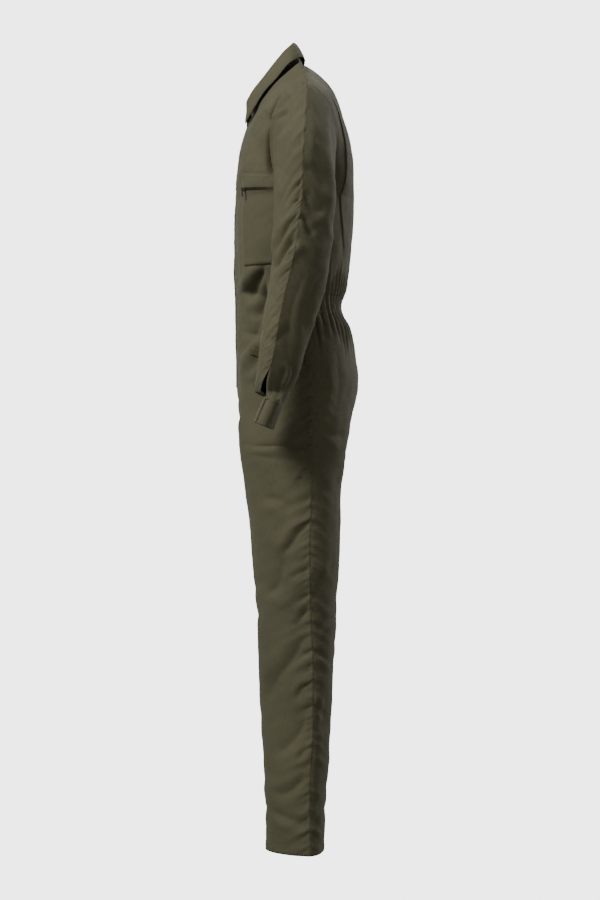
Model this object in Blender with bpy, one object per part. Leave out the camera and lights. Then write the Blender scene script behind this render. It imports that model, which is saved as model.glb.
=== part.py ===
"""Boiler suit: a one-piece work garment, standing in the hollow form of a wearer who isn't there.

Run it with: blender --background --python part.py

Every piece is a wall of cloth, cut as a maker would cut it and set 0.3 mm from its neighbours at the
seams. Sizes are in millimetres and heights are above the hem; the model itself is in metres, with its
origin between the shoulders, where the wearer holds the garment. +X is the wearer's left, -Y the front.
"""

import math

import bpy
import numpy as np

MM = 0.001

# ---------------------------------------------------------------- driving sizes
HOLD_HEIGHT = 1500
CLOTH = 1.6
DOUBLE_CLOTH = 2.4
SEAM_GAP = 0.3
SEAM_REACH = 1.6
NECK_RISE = 0.9
LAID_GAP = 0.5
FULLNESS = 0.66
LEG_FULLNESS = 0.59
SLEEVE_FULLNESS = 0.58
OVERARM_RIDGE = 9
SIDE_RIDGE = 6
CROTCH_HEIGHT = 783
KNEE_HEIGHT = 450
THIGH_CROWDING = 0.4
RISE_TOP = 900
CASING_BOTTOM = 1036
CASING_MIDDLE = 1055
CASING_TOP = 1074
NECK_STEP = 0.72
BACK_NECK_STEP = 0.94

# Half sections of the trunk: where its front, back and side seam stand at each height.
TRUNK = np.array([
    # height, front, back, half width, side seam
    (783, -118, 92, 214, 24),
    (831, -124, 103, 212, 24),
    (879, -126, 112, 211, 24),
    (919, -126, 116, 209, 23),
    (955, -126, 112, 205, 21),
    (991, -127, 106, 199, 18),
    (1015, -127, 99, 192, 15),
    (1036, -128, 86, 184, 13),
    (1058, -128, 79, 180, 10),
    (1099, -129, 90, 184, 8),
    (1123, -130, 96, 190, 8),
    (1171, -129, 102, 198, 7),
    (1243, -127, 106, 204, 6),
    (1265, -126, 107, 205, 6),
], float)

# Sections of one leg: where its front, back and outside stand at each height, and its two seams.
LEG = np.array([
    # height, front, back, outside, seams
    (0, -66, 45, 190, 19),
    (60, -67, 48, 191, 19),
    (128, -70, 53, 194, 19),
    (245, -74, 59, 198, 25),
    (362, -80, 66, 203, 25),
    (479, -85, 72, 208, 20),
    (595, -94, 76, 212, 19),
    (673, -103, 78, 215, 22),
    (783, -118, 92, 214, 24),
    (900, -128, 112, 210, 24),
], float)

# The inside of the leg: half the space between the legs at each height.
INSEAM = np.array([
    # height, inside
    (0, 27),
    (128, 26),
    (245, 24),
    (362, 22),
    (479, 19),
    (595, 16),
    (700, 13),
    (750, 10),
    (772, 6.5),
    (780, 3.2),
    (783, 0),
    (900, 0),
], float)

# Above the underarm, each row of the front runs from its inner edge (centre, then neckline) to its
# outer edge (armhole); the last row is the shoulder seam. Reaches are the lengths of the curve's ends.
FRONT_YOKE = np.array([
    # row, inner x y z, outer x y z, inner reach, outer run x y z
    (0.00, 0, -126, 1265, 205, 6, 1265, 135, 0, 88, 0),
    (0.12, 0, -126, 1300, 200, -30, 1281, 140, 12, 67, 0),
    (0.28, 0, -123, 1334, 197, -50, 1325, 120, 26, 46, 0),
    (0.44, 0, -117, 1371, 202, -53, 1368, 100, 34, 38, -4),
    (0.60, 0, -107, 1407, 208, -50, 1404, 80, 42, 27, -10),
    (0.72, 0, -94, 1434, 213, -43, 1430, 70, 44, 20, -16),
    (0.82, 37, -83, 1456, 218, -32, 1447, 50, 42, 12, -20),
    (0.91, 66, -50, 1493, 223, -12, 1461, 38, 42, 6, -22),
    (1.00, 80, -1, 1534, 226, 14, 1468, 40, 44, 4, -24),
], float)

# The back bodice in the same way, from the centre back and the back neckline to the armhole.
BACK_YOKE = np.array([
    # row, inner x y z, outer x y z, inner reach, outer run x y z
    (0.00, 0, 107, 1265, 205, 6, 1265, 135, 0, -67, 0),
    (0.12, 0, 106, 1300, 203, 36, 1277, 140, 8, -60, 0),
    (0.28, 0, 103, 1345, 204, 62, 1318, 120, 24, -44, 0),
    (0.44, 0, 96, 1387, 208, 69, 1365, 100, 34, -28, -4),
    (0.60, 0, 85, 1432, 214, 65, 1408, 80, 42, -14, -10),
    (0.74, 0, 68, 1483, 220, 55, 1437, 70, 44, -6, -16),
    (0.86, 0, 40, 1519, 224, 38, 1456, 56, 44, -2, -20),
    (0.94, 0, 5, 1543, 226, 26, 1464, 48, 44, 0, -22),
    (1.00, 80, -1, 1534, 226, 14, 1468, 40, 44, 4, -24),
], float)

# Level sections of the left sleeve below its head, and where the overarm seam runs on its outside.
SLEEVE = np.array([
    # height, front, back, inside, outside, overarm seam
    (880, -81, -19, 240, 328, -68),
    (900, -82, -10, 238, 332, -64),
    (927, -79, 0, 236, 334, -54),
    (963, -75, 11, 233, 336, -46),
    (1010, -69, 26, 229, 338, -38),
    (1056, -62, 42, 224, 339, -29),
    (1103, -56, 52, 219, 338, -17),
    (1150, -53, 58, 214, 335, -8),
    (1197, -51, 63, 211, 331, -2),
    (1244, -50, 68, 209, 326, 4),
], float)

# The turned collar by share of the neckline: the line it rolls over on, and its free edge.
COLLAR = np.array([
    # station, roll x y z, edge x y z
    (0.00, 3, -106, 1472, 56, -107, 1419),
    (0.14, 28, -94, 1488, 70, -91, 1447),
    (0.30, 51, -74, 1509, 79, -70, 1478),
    (0.44, 64, -51, 1536, 89, -46, 1502),
    (0.56, 69, -33, 1557, 94, -22, 1530),
    (0.70, 60, -19, 1572, 82, -2, 1545),
    (0.84, 36, -13, 1581, 46, 7, 1551),
    (1.00, 0, -11, 1584, 0, 10, 1554),
], float)

COLLAR_FRONT_GAP = 1.0
STAND_BOW = 1.5
FALL_OUT = 4
FALL_UP = 5
FALL_LIE = 0.4
FALL_BOW = 5
FALL_ROWS = 6

# The cuff: a level-ish ring at its top and another at its open end.
CUFF = np.array([
    # height, centre x y, half width, half depth
    (820, 283, -68, 54, 19),
    (869, 285, -48, 53, 18),
], float)
CUFF_TOP = 869
CUFF_DROP = 1.4
CUFF_BOTTOM = 820
SLEEVE_TOP = 1244
CUFF_TILT = math.radians(22)
CUFF_LAP = 14
CUFF_RADIUS = 40
CUFF_COLUMNS = 34
ARC_STEPS = 30
CUFF_LAP_RISE = 3.4
SLIT_TOP = 930
SLIT_RUN = 45
SLIT_GAPE = 6
SLIT_ANGLE = math.radians(-50)
SLIT_HALF_ANGLE = math.radians(9)
CUFF_MIDDLE = 845
CUFF_SQUARENESS = 0.85
LAP_START = 0.75

# The sleeve head: how its lines leave the armhole, outwards and downwards, as a value at the overarm
# seam and its change by the underarm; and how they arrive at the first level section.
HEAD_LEAVE = (0.86, -0.5)
HEAD_LEAVE_DOWN = (-0.5, -0.45)
HEAD_BULGE = 0.12
HEAD_ARRIVE = np.array([0.08, 0, -1])
HEAD_ROWS = 6

# Gathers in the elastic back waist, counted on one half, and how far each row of them stands out.
GATHERS = 14
GATHER_ROWS = np.array([
    # height, depth of the waves
    (975, 0),
    (1000, 0.9),
    (1018, 2.1),
    (1036, 2.9),
    (1055, 2.3),
    (1074, 2.9),
    (1098, 1.9),
    (1124, 0.7),
    (1150, 0),
], float)

# Action pleat in the back: how far from the centre it stands, and its three layers.
PLEAT = np.array([
    # flat run from the fold, folded run, height off the back
    (-60, -60, 0),
    (-30, -26, 6.6),
    (-12, -3, 7.2),
    (-8, 0, 5.8),
    (-3, -3, 3.9),
    (8, -17, 3.4),
    (12, -19, 1.6),
    (17, -16, 0),
    (32, 4, 0),
], float)
PLEAT_INNER_POINTS = 4
PLEAT_OUTER_POINTS = 5
PLEAT_PLACE = np.array([
    # row height at the centre, distance of the fold from the armhole or side, how far it is folded
    (1075, 100, 0),
    (1130, 101, 0.25),
    (1200, 96, 0.9),
    (1265, 86, 1),
    (1300, 57, 1),
    (1345, 37, 1),
    (1387, 33, 1),
    (1432, 34, 0.9),
    (1483, 36, 0.6),
    (1519, 40, 0.2),
    (1544, 40, 0),
], float)

# The largest soft folds: where each is, which way it runs, its size, and which way it is pushed.
FOLDS = np.array([
    # x, y, z, run x y z, length, width, depth, push x y z
    (333, -30, 1150, 0, -30, -60, 60, 15, -8, 1, -0.2, 0),
    (333, 30, 1158, 0, 25, -60, 55, 15, -7, 1, 0.2, 0),
    (325, -46, 1190, 0, -10, -60, 70, 14, 5, 0.7, -0.7, 0),
    (326, 40, 1105, 0, 30, 18, 45, 14, -7, 0.7, 0.7, 0),
    (328, -50, 1060, 0, 10, -50, 60, 15, 4, 0.7, -0.7, 0),
    (206, -46, 1390, 0, 2, -70, 80, 10, -6, 0.5, -1, 0),
    (150, -130, 1060, 20, 0, -70, 70, 18, -5, 0, -1, 0),
    (150, -118, 785, 30, 0, 8, 90, 9, -3, 0.3, -1, 0),
    (190, -40, 560, 10, -30, 40, 70, 22, -6, 1, -0.6, 0),
    (200, 40, 420, 5, 20, 60, 90, 20, -5, 1, 0.5, 0),
    (190, -50, 330, 5, -20, 50, 80, 22, 4, 1, -0.6, 0),
    (120, 100, 760, 30, 0, 14, 90, 16, -5, 0, 1, 0),
], float)

FOLD_REACH = 45

LEG_HEIGHTS = [0, 60, 128, 245, 362, 420, 479, 540, 595, 650, 700, 740, 765, 777, CROTCH_HEIGHT]
RISE_STEPS = [0.03, 0.1, 0.22, 0.4, 0.65, 1.0]
PLACES = [0, 0.085, 0.19, 0.30, 0.405, 0.51, 0.61, 0.71, 0.80, 0.885, 0.955, 1]


# ---------------------------------------------------------------- reading tables and curves
def read(table, at):
    """Read every column of a table between its rows, along curves that never overshoot them."""
    place = table[:, 0]
    value = table[:, 1:]
    step = np.diff(place)[:, None]
    slope = np.diff(value, axis=0) / step
    before = slope[:-1]
    after = slope[1:]
    agree = before * after > 0
    total = np.where(agree, before + after, 1)
    middle = np.where(agree, 2 * before * after / total, 0)
    lean = np.vstack([slope[:1], middle, slope[-1:]])
    k = int(np.clip(np.searchsorted(place, at, "right") - 1, 0, len(step) - 1))
    t = float(np.clip((at - place[k]) / step[k, 0], 0, 1))
    ease = 3 * t**2 - 2 * t**3
    out = (t**3 - 2 * t**2 + t) * step[k, 0] * lean[k] + (t**3 - t**2) * step[k, 0] * lean[k + 1]
    return (1 - ease) * value[k] + ease * value[k + 1] + out


def bezier(start, handle, other, end, count=24):
    """Points along a curve that leaves its ends towards two handles."""
    t = np.linspace(0, 1, count)[:, None]
    return ((1 - t)**3 * start + 3 * (1 - t)**2 * t * handle
            + 3 * (1 - t) * t**2 * other + t**3 * end)


def spread(curve, places):
    """Points along a curve at the given shares of its length."""
    run = np.concatenate([[0], np.cumsum(np.linalg.norm(np.diff(curve, axis=0), axis=1))])
    wanted = np.asarray(places) * run[-1]
    return np.stack([np.interp(wanted, run, curve[:, k]) for k in range(3)], axis=1)


def even(count):
    """Even shares from 0 to 1."""
    return np.linspace(0, 1, count + 1)


def quadrant(start, corner, end, fullness):
    """A quarter of a section: it leaves both ends towards the corner between them."""
    first = start + fullness * (corner - start)
    last = end + fullness * (corner - end)
    return bezier(start, first, last, end)


# ---------------------------------------------------------------- sections of the body
def trunk_row(height, back):
    """Half a level section of the trunk, from its centre line to the side seam."""
    front, rear, half, side = read(TRUNK, height)
    depth = rear if back else front
    start = np.array([0, depth, height])
    end = np.array([half, side, height])
    return quadrant(start, np.array([half, depth, height]), end, FULLNESS)


def leg_row(height, back):
    """Half a level section of the leg, from the inseam round to the side seam."""
    front, rear, outside, seam = read(LEG, height)
    inside = read(INSEAM, height)[0]
    depth = rear if back else front
    middle = np.array([(inside + outside) / 2, depth, height])
    first = quadrant(np.array([inside, seam, height]), np.array([inside, depth, height]),
                     middle, LEG_FULLNESS)
    second = quadrant(middle, np.array([outside - SIDE_RIDGE, depth, height]),
                      np.array([outside, seam, height]), LEG_FULLNESS)
    return np.vstack([first, second[1:]])


def leg_places(height, places):
    """Shares round the leg: near the crotch they crowd to the outside, to run on into the trunk's."""
    climb = min(1, max(0, (height - KNEE_HEIGHT) / (CROTCH_HEIGHT - KNEE_HEIGHT)))
    return np.array(places) ** (1 - THIGH_CROWDING * climb**2 * (3 - 2 * climb))


def body_row(height, back, places):
    """A row of the front or back below the underarm, with the rise blended in above the crotch."""
    if height <= CROTCH_HEIGHT:
        return spread(leg_row(height, back), leg_places(height, places))
    trunk = spread(trunk_row(height, back), places)
    if height >= RISE_TOP:
        return trunk
    climb = 1 - (height - CROTCH_HEIGHT) / (RISE_TOP - CROTCH_HEIGHT)
    at_seam = 1 - math.sqrt(1 - climb**2)
    at_side = 3 * climb**2 - 2 * climb**3
    near = ((1 - np.array(places))**4)[:, None]
    share = at_seam * near + at_side * (1 - near)
    return (1 - share) * trunk + share * spread(leg_row(height, back), leg_places(height, places))


def yoke_row(table, row, places):
    """A row of the front or back above the underarm."""
    value = read(table, row)
    inner = value[0:3]
    outer = value[3:6]
    return spread(bezier(inner, inner + (value[6], 0, 0), outer - value[7:10], outer), places)


def sleeve_ring(height):
    """The four quarters of a level section of the sleeve: front outer, front inner, back inner, back outer."""
    front, back, inside, outside, seam = read(SLEEVE, height)
    across = (inside + outside) / 2
    middle = (front + back) / 2
    top = np.array([outside, seam, height])
    bottom = np.array([inside, middle, height])
    ahead = np.array([across, front, height])
    behind = np.array([across, back, height])
    return top, bottom, ahead, behind


def sleeve_half(height, back):
    """Half a section of the sleeve, from the overarm seam round to the underarm seam."""
    top, bottom, ahead, behind = sleeve_ring(height)
    far = behind if back else ahead
    first = quadrant(top, np.array([top[0] - OVERARM_RIDGE, far[1], height]), far, SLEEVE_FULLNESS)
    second = quadrant(far, np.array([bottom[0], far[1], height]), bottom, SLEEVE_FULLNESS)
    return np.vstack([first, second[1:]])


# ---------------------------------------------------------------- sheets of cloth
class Sheet:
    """A surface of cloth through the middle of its wall, before it is given thickness."""

    def __init__(self, name, rows, thickness=CLOTH, turned=False):
        self.name = name
        self.points = np.vstack(rows)
        self.faces = join_rows(rows)
        self.thickness = thickness
        if turned:
            self.faces = [turn_over(face) for face in self.faces]
        self.normals = face_normals(self.points, self.faces)
        self.rim = rim_edges(self.faces)

    def mirrored(self, name):
        """The same sheet on the other side of the body."""
        other = Sheet.__new__(Sheet)
        flip = np.array([-1.0, 1.0, 1.0])
        other.name = name
        other.points = self.points * flip
        other.faces = [turn_over(face) for face in self.faces]
        other.thickness = self.thickness
        other.normals = self.normals * flip
        other.rim = rim_edges(other.faces)
        return other


def turn_over(face):
    """The same face seen from behind, still split along the same diagonal."""
    return (face[0],) + tuple(face[:0:-1])


def join_rows(rows):
    """Faces between neighbouring rows, with triangles where a row has more points than the next."""
    faces = []
    start = 0
    for lower, upper in zip(rows, rows[1:]):
        top = start + len(lower)
        if len(lower) == len(upper):
            for k in range(len(lower) - 1):
                faces.append((start + k, start + k + 1, top + k + 1, top + k))
        else:
            faces.extend(zip_rows(start, len(lower), top, len(upper)))
        start = top
    return faces


def zip_rows(first, first_count, second, second_count):
    """Triangles between two rows of unlike count."""
    faces = []
    i = 0
    j = 0
    while i < first_count - 1 or j < second_count - 1:
        ahead_first = (i + 1) / (first_count - 1)
        ahead_second = (j + 1) / (second_count - 1)
        if j == second_count - 1 or (i < first_count - 1 and ahead_first <= ahead_second):
            faces.append((first + i, first + i + 1, second + j))
            i += 1
        else:
            faces.append((first + i, second + j + 1, second + j))
            j += 1
    return faces


def face_normals(points, faces):
    """Outward directions at the points of a sheet."""
    total = np.zeros_like(points)
    for face in faces:
        corner = points[list(face)]
        spin = sum(np.cross(corner[k] - corner[0], corner[k + 1] - corner[0])
                   for k in range(1, len(face) - 1))
        total[list(face)] += spin
    return total / np.linalg.norm(total, axis=1)[:, None]


def rim_edges(faces):
    """The edges that only one face uses, in that face's order."""
    used = {}
    for face in faces:
        for k in range(len(face)):
            used[(face[k], face[(k + 1) % len(face)])] = True
    return [edge for edge in used if (edge[1], edge[0]) not in used]


def match_seams(sheets):
    """Give pieces that meet at a seam the same wall direction all along it."""
    rims = []
    for sheet in sheets:
        pairs = np.array(sheet.rim)
        rims.append((sheet.points[pairs[:, 0]], sheet.points[pairs[:, 1]],
                     sheet.normals[pairs[:, 0]], sheet.normals[pairs[:, 1]]))
    matched = []
    for sheet in sheets:
        changed = {}
        for vertex in {edge[0] for edge in sheet.rim}:
            point = sheet.points[vertex]
            direction = sheet.normals[vertex].copy()
            for other, rim in zip(sheets, rims):
                if other is not sheet:
                    direction += direction_there(rim, point)
            if abs(point[0]) < SEAM_GAP:
                direction[0] = 0
            changed[vertex] = direction / np.linalg.norm(direction)
        matched.append(changed)
    for sheet, changed in zip(sheets, matched):
        for vertex, direction in changed.items():
            sheet.normals[vertex] = direction


def direction_there(rim, point):
    """The wall direction of another sheet's rim where it passes a point, or nothing if it doesn't."""
    start, end, first, second = rim
    along = end - start
    share = np.clip(np.sum((point - start) * along, axis=1) / np.sum(along**2, axis=1), 0, 1)[:, None]
    away = np.linalg.norm(start + along * share - point, axis=1)
    k = int(np.argmin(away))
    if away[k] > SEAM_REACH:
        return np.zeros(3)
    direction = first[k] * (1 - share[k]) + second[k] * share[k]
    return direction / np.linalg.norm(direction)


def trim_rim(sheet):
    """Draw the rim of a sheet back by half the seam gap, within its own surface."""
    inward = {}
    for first, second in sheet.rim:
        along = sheet.points[second] - sheet.points[first]
        side = np.cross(sheet.normals[first] + sheet.normals[second], along)
        side = side / np.linalg.norm(side)
        inward.setdefault(first, []).append(side)
        inward.setdefault(second, []).append(side)
    for vertex, sides in inward.items():
        total = sum(sides)
        reach = max(0.5, total @ total / len(sides))
        sheet.points[vertex] = sheet.points[vertex] + total * SEAM_GAP / 2 / reach


def make_wall(sheet, colour, roughness=0.85, metallic=0.0):
    """Turn a sheet into a closed wall and add it to the scene."""
    half = sheet.normals * sheet.thickness / 2
    count = len(sheet.points)
    points = np.vstack([sheet.points + half, sheet.points - half])
    faces = list(sheet.faces)
    faces += [tuple(count + k for k in turn_over(face)) for face in sheet.faces]
    faces += [(b, a, count + a, count + b) for a, b in sheet.rim]
    return add_object(sheet.name, points, faces, colour, roughness, metallic)


def add_object(name, points, faces, colour, roughness, metallic):
    """A named object with its own material, moved so that the hold point is the origin."""
    placed = (points - np.array([0, 0, HOLD_HEIGHT])) * MM
    mesh = bpy.data.meshes.new(name)
    mesh.from_pydata([tuple(point) for point in placed], [], [tuple(face) for face in faces])
    mesh.polygons.foreach_set("use_smooth", [True] * len(mesh.polygons))
    mesh.update()
    material = bpy.data.materials.new(name + "_cloth" if metallic == 0 else name + "_metal")
    material.use_nodes = True
    shader = material.node_tree.nodes["Principled BSDF"]
    shader.inputs["Base Color"].default_value = (*colour, 1)
    shader.inputs["Roughness"].default_value = roughness
    shader.inputs["Metallic"].default_value = metallic
    mesh.materials.append(material)
    thing = bpy.data.objects.new(name, mesh)
    bpy.context.scene.collection.objects.link(thing)
    return thing


# ---------------------------------------------------------------- folds, gathers and pleats
def fold_cloth(points):
    """Push a set of points along the largest soft folds."""
    moved = points.copy()
    for fold in FOLDS:
        run = fold[3:6] / np.linalg.norm(fold[3:6])
        push = fold[9:12] / np.linalg.norm(fold[9:12])
        away = points - fold[0:3]
        along = away @ run
        deep = away @ push
        across = np.linalg.norm(away - np.outer(along, run) - np.outer(deep, push), axis=1)
        size = np.exp(-(across / fold[7])**2 - (along / fold[6])**2 - (deep / FOLD_REACH)**2)
        moved += np.outer(size * fold[8], push)
    return moved


def gathered(row, height):
    """A row of the back drawn up by the elastic into even waves, level with the cloth at both ends."""
    depth = read(GATHER_ROWS, height)[0]
    if depth < 0.01:
        return row
    share = np.linspace(0, 1, len(row))
    ahead = np.gradient(row, axis=0)
    out = np.stack([-ahead[:, 1], ahead[:, 0], np.zeros(len(row))], axis=1)
    out = out / np.linalg.norm(out, axis=1)[:, None]
    swell = 0.8 + 0.2 * np.sin(share * 17 + height / 40)
    wave = depth * swell * np.sin(share * 2 * math.pi * GATHERS)
    return row + out * wave[:, None]


def pleated(curve, centre_height):
    """A row of the back bodice with its action pleat, from the centre back to the armhole."""
    length = np.linalg.norm(np.diff(curve, axis=0), axis=1).sum()
    distance, folded = read(PLEAT_PLACE, centre_height)
    fold_at = length - distance
    inner = np.linspace(0, fold_at + PLEAT[0, 0], PLEAT_INNER_POINTS)[:-1]
    flat = fold_at + np.linspace(PLEAT[0, 0], PLEAT[-1, 0], len(PLEAT))
    run = flat * (1 - folded) + (fold_at + PLEAT[:, 1]) * folded
    outer = np.linspace(run[-1], length, PLEAT_OUTER_POINTS)[1:]
    places = np.concatenate([inner, run, outer]) / length
    rise = np.concatenate([inner * 0, PLEAT[:, 2] * folded, outer * 0])
    row = spread(curve, places)
    ahead = spread(curve, np.minimum(places + 0.004, 1)) - spread(curve, np.maximum(places - 0.004, 0))
    out = np.cross(np.array([0, 0, 1.0]), ahead)
    out = out / np.linalg.norm(out, axis=1)[:, None]
    return row + out * rise[:, None]


# ---------------------------------------------------------------- panels
FRONT_LEVELS = LEG_HEIGHTS + [CROTCH_HEIGHT + step * (RISE_TOP - CROTCH_HEIGHT) for step in RISE_STEPS]
FRONT_LEVELS = FRONT_LEVELS + [926, 950, 975, 1000, 1018, CASING_BOTTOM, CASING_TOP, 1103, 1131, 1200]
FRONT_STEPS = [0, 0.04, 0.085, 0.20, 0.29, 0.40, 0.52, 0.62, NECK_STEP, 0.77, 0.82, 0.865, 0.91, 0.955, 1.0]
SLEEVE_HEAD_STEPS = [0, 4, 5, 6, 7, 8, 10, 12, 14]
SLEEVE_LEVELS = [1210, 1180, 1150, 1125, 1100, 1060, 1010, 963, 930, 900, 884]
BACK_STEPS = [0, 0.12, 0.28, 0.44, 0.60, 0.74, 0.86, 0.94, 0.96, 0.98, 1.0]
GATHER_HEIGHTS_BELOW = [1000, 1018, CASING_BOTTOM]
GATHER_HEIGHTS_ABOVE = [CASING_TOP, 1098, 1124]
BODICE_HEIGHTS = [1155, 1200]
WAVE_COLUMNS = GATHERS * 4
YOKE_STEPS = 40


def front_rows():
    """The left front, from the hem to the shoulder seam."""
    rows = [body_row(height, False, PLACES) for height in FRONT_LEVELS]
    rows += [yoke_row(FRONT_YOKE, step, PLACES) for step in FRONT_STEPS]
    return [fold_cloth(row) for row in rows]


def seat_rows():
    """The left seat and leg back, from the hem to the elastic casing."""
    levels = [height for height in FRONT_LEVELS if height < GATHER_HEIGHTS_BELOW[0]]
    rows = [body_row(height, True, PLACES) for height in levels]
    for height in GATHER_HEIGHTS_BELOW:
        rows.append(gathered(body_row(height, True, even(WAVE_COLUMNS)), height))
    return [fold_cloth(row) for row in rows]


def casing_rows():
    """Half of the elastic casing."""
    return [gathered(body_row(height, True, even(WAVE_COLUMNS)), height)
            for height in (CASING_BOTTOM, CASING_MIDDLE, CASING_TOP)]


def bodice_rows():
    """Half of the back bodice, from the elastic casing to the shoulder seam."""
    rows = [gathered(body_row(height, True, even(WAVE_COLUMNS)), height)
            for height in GATHER_HEIGHTS_ABOVE]
    rows += [pleated(trunk_row(height, True), height) for height in BODICE_HEIGHTS]
    for step in BACK_STEPS:
        curve = yoke_row(BACK_YOKE, step, even(YOKE_STEPS))
        rows.append(pleated(curve, curve[0][2]))
    return rows


def both_sides(name, rows, thickness=CLOTH, turned=False):
    """A sheet from a half and its mirror image, joined along the centre line."""
    half = Sheet(name, rows, thickness, turned)
    other = half.mirrored(name)
    points = list(half.points)
    place = {tuple(np.round(point, 3)): k for k, point in enumerate(half.points) if abs(point[0]) < 1e-6}
    link = []
    for point in other.points:
        key = tuple(np.round(point, 3) + 0.0)
        if abs(point[0]) < 1e-6 and key in place:
            link.append(place[key])
        else:
            link.append(len(points))
            points.append(point)
    half.points = np.array(points)
    half.faces = half.faces + [tuple(link[k] for k in face) for face in other.faces]
    half.normals = face_normals(half.points, half.faces)
    half.rim = rim_edges(half.faces)
    return half


def sleeve_head(outer, level, share):
    """One line of the sleeve head, from a point of the armhole down to its first level section."""
    reach = np.linalg.norm(level - outer)
    side = 1 if level[1] > outer[1] else -1
    out = HEAD_LEAVE[0] + HEAD_LEAVE[1] * share
    down = HEAD_LEAVE_DOWN[0] + HEAD_LEAVE_DOWN[1] * share
    leave = np.array([out, HEAD_BULGE * side * math.sin(share * math.pi), down])
    return bezier(outer, outer + leave * reach / 3, level - HEAD_ARRIVE * reach / 3, level, HEAD_ROWS)[1:]


def sleeve_rows(back):
    """Half of the left sleeve, from the armhole to the cuff, each row from overarm to underarm."""
    table = BACK_YOKE if back else FRONT_YOKE
    steps = (BACK_STEPS if back else [FRONT_STEPS[k] for k in SLEEVE_HEAD_STEPS])[::-1]
    armhole = np.array([read(table, step)[3:6] for step in steps])
    run = np.concatenate([[0], np.cumsum(np.linalg.norm(np.diff(armhole, axis=0), axis=1))])
    places = run / run[-1]
    first = spread(sleeve_half(SLEEVE_TOP, back), places)
    heads = np.array([sleeve_head(a, b, s) for a, b, s in zip(armhole, first, places)])
    rows = [armhole] + [heads[:, k] for k in range(heads.shape[1])]
    for height in SLEEVE_LEVELS:
        curve = sleeve_half(height, back)
        length = np.linalg.norm(np.diff(curve, axis=0), axis=1).sum()
        open_share = SLIT_GAPE * np.clip((SLIT_TOP - height) / SLIT_RUN, 0, 1) / length
        rows.append(spread(curve, open_share + places * (1 - open_share)))
    rows.append(cuff_arc(back, places))
    return [fold_cloth(row) for row in rows]


def cuff_point(height, angle, rise=0.0):
    """A point of the cuff at an angle from its outer side, positive towards the back."""
    x, y, half_width, half_depth = read(CUFF, height)
    turn = math.cos(angle)
    climb = math.sin(angle)
    across = (half_width + rise) * math.copysign(abs(turn)**CUFF_SQUARENESS, turn)
    deep = (half_depth + rise) * math.copysign(abs(climb)**CUFF_SQUARENESS, climb)
    return np.array([x + across, y + deep * math.cos(CUFF_TILT), height - deep * math.sin(CUFF_TILT)])


def cuff_arc(back, places):
    """The lower edge of a sleeve half, along the top of the cuff."""
    start = SLIT_ANGLE + (SLIT_HALF_ANGLE if back else -SLIT_HALF_ANGLE)
    end = math.pi if back else -math.pi
    curve = np.array([cuff_point(CUFF_TOP, start + (end - start) * t) for t in even(ARC_STEPS)])
    return spread(curve, places)


def cuff_rows():
    """The left cuff: a strip once round the wrist, with its end lapped over its start at the slit."""
    turn = 2 * math.pi + CUFF_LAP / CUFF_RADIUS
    rows = []
    for height in (CUFF_TOP - CUFF_DROP, CUFF_MIDDLE, CUFF_BOTTOM):
        row = []
        for t in even(CUFF_COLUMNS):
            lap = CUFF_LAP_RISE * max(0, (t - LAP_START) / (1 - LAP_START))**1.5
            row.append(cuff_point(height, SLIT_ANGLE + turn * t - CUFF_LAP / CUFF_RADIUS / 2, lap))
        rows.append(np.array(row))
    return rows


def collar_rows():
    """The stand and the fall of the left half of the collar, from the centre front to the centre back."""
    front = [read(FRONT_YOKE, step)[0:3] for step in FRONT_STEPS if step >= NECK_STEP]
    back = [read(BACK_YOKE, step)[0:3] for step in BACK_STEPS[::-1] if BACK_NECK_STEP <= step < 1]
    neck = np.array(front + back)
    neck[0, 0] = COLLAR_FRONT_GAP
    neck[:, 2] += NECK_RISE
    run = np.concatenate([[0], np.cumsum(np.linalg.norm(np.diff(neck, axis=0), axis=1))])
    fold = np.array([read(COLLAR, share) for share in run / run[-1]])
    roll = fold[:, 0:3]
    edge = fold[:, 3:6]
    out = (edge - roll) * (1, 1, 0)
    out = out / np.linalg.norm(out, axis=1)[:, None]
    up = np.array([0, 0, 1.0])
    stand = [neck, (neck + roll) / 2 + out * STAND_BOW, roll]
    leave = out * FALL_OUT + up * FALL_UP
    arrive = (roll - edge) * FALL_LIE + out * FALL_BOW
    lines = [bezier(a, a + first, b + last, b, FALL_ROWS)
             for a, first, last, b in zip(roll, leave, arrive, edge)]
    fall = [np.array([line[k] for line in lines]) for k in range(FALL_ROWS)]
    return stand, fall


def patch(grid, normals, rows, columns, offset):
    """Rows of points lying over part of a panel, read between the panel's own points and moved out."""
    out = []
    for row in rows:
        line = []
        for column, lean in zip(columns, row if np.ndim(row) else [row] * len(columns)):
            i = int(min(lean, len(grid) - 2))
            j = int(min(column, len(grid[0]) - 2))
            s = lean - i
            t = column - j
            weight = ((1 - s) * (1 - t), (1 - s) * t, s * (1 - t), s * t)
            corner = ((i, j), (i, j + 1), (i + 1, j), (i + 1, j + 1))
            point = sum(w * grid[c] for w, c in zip(weight, corner))
            lean_out = sum(w * normals[c] for w, c in zip(weight, corner))
            line.append(point + lean_out / np.linalg.norm(lean_out) * offset)
        out.append(np.array(line))
    return out


LAID = CLOTH / 2 + LAID_GAP
TAPE_CLOTH = 1.2
WELT_LIFT = 0.3
POCKET_ROWS = [29, 30, 31, 32]
POCKET_COLUMNS = [5, 6, 7, 8, 9, 9.7]
BAND_ROWS = [33, 34]
BAND_COLUMNS = [4, 5, 6, 7, 8, 9, 10]
ZIP_ROWS = [32, 33]
ZIP_COLUMNS = [5, 6, 7, 8, 9, 9.7]
PLACKET_COLUMNS = [0, 1]
WELT_COLUMNS = [5.1, 6, 7, 8, 8.6]
WELT_TOP = [23.03, 22.62, 22.1, 21.55, 21.25]
WELT_DROP = 0.6
SIDE_COLUMNS = [10, 10.8]
SIDE_ROWS = [21.45, 22, 23, 24, 25]

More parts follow.
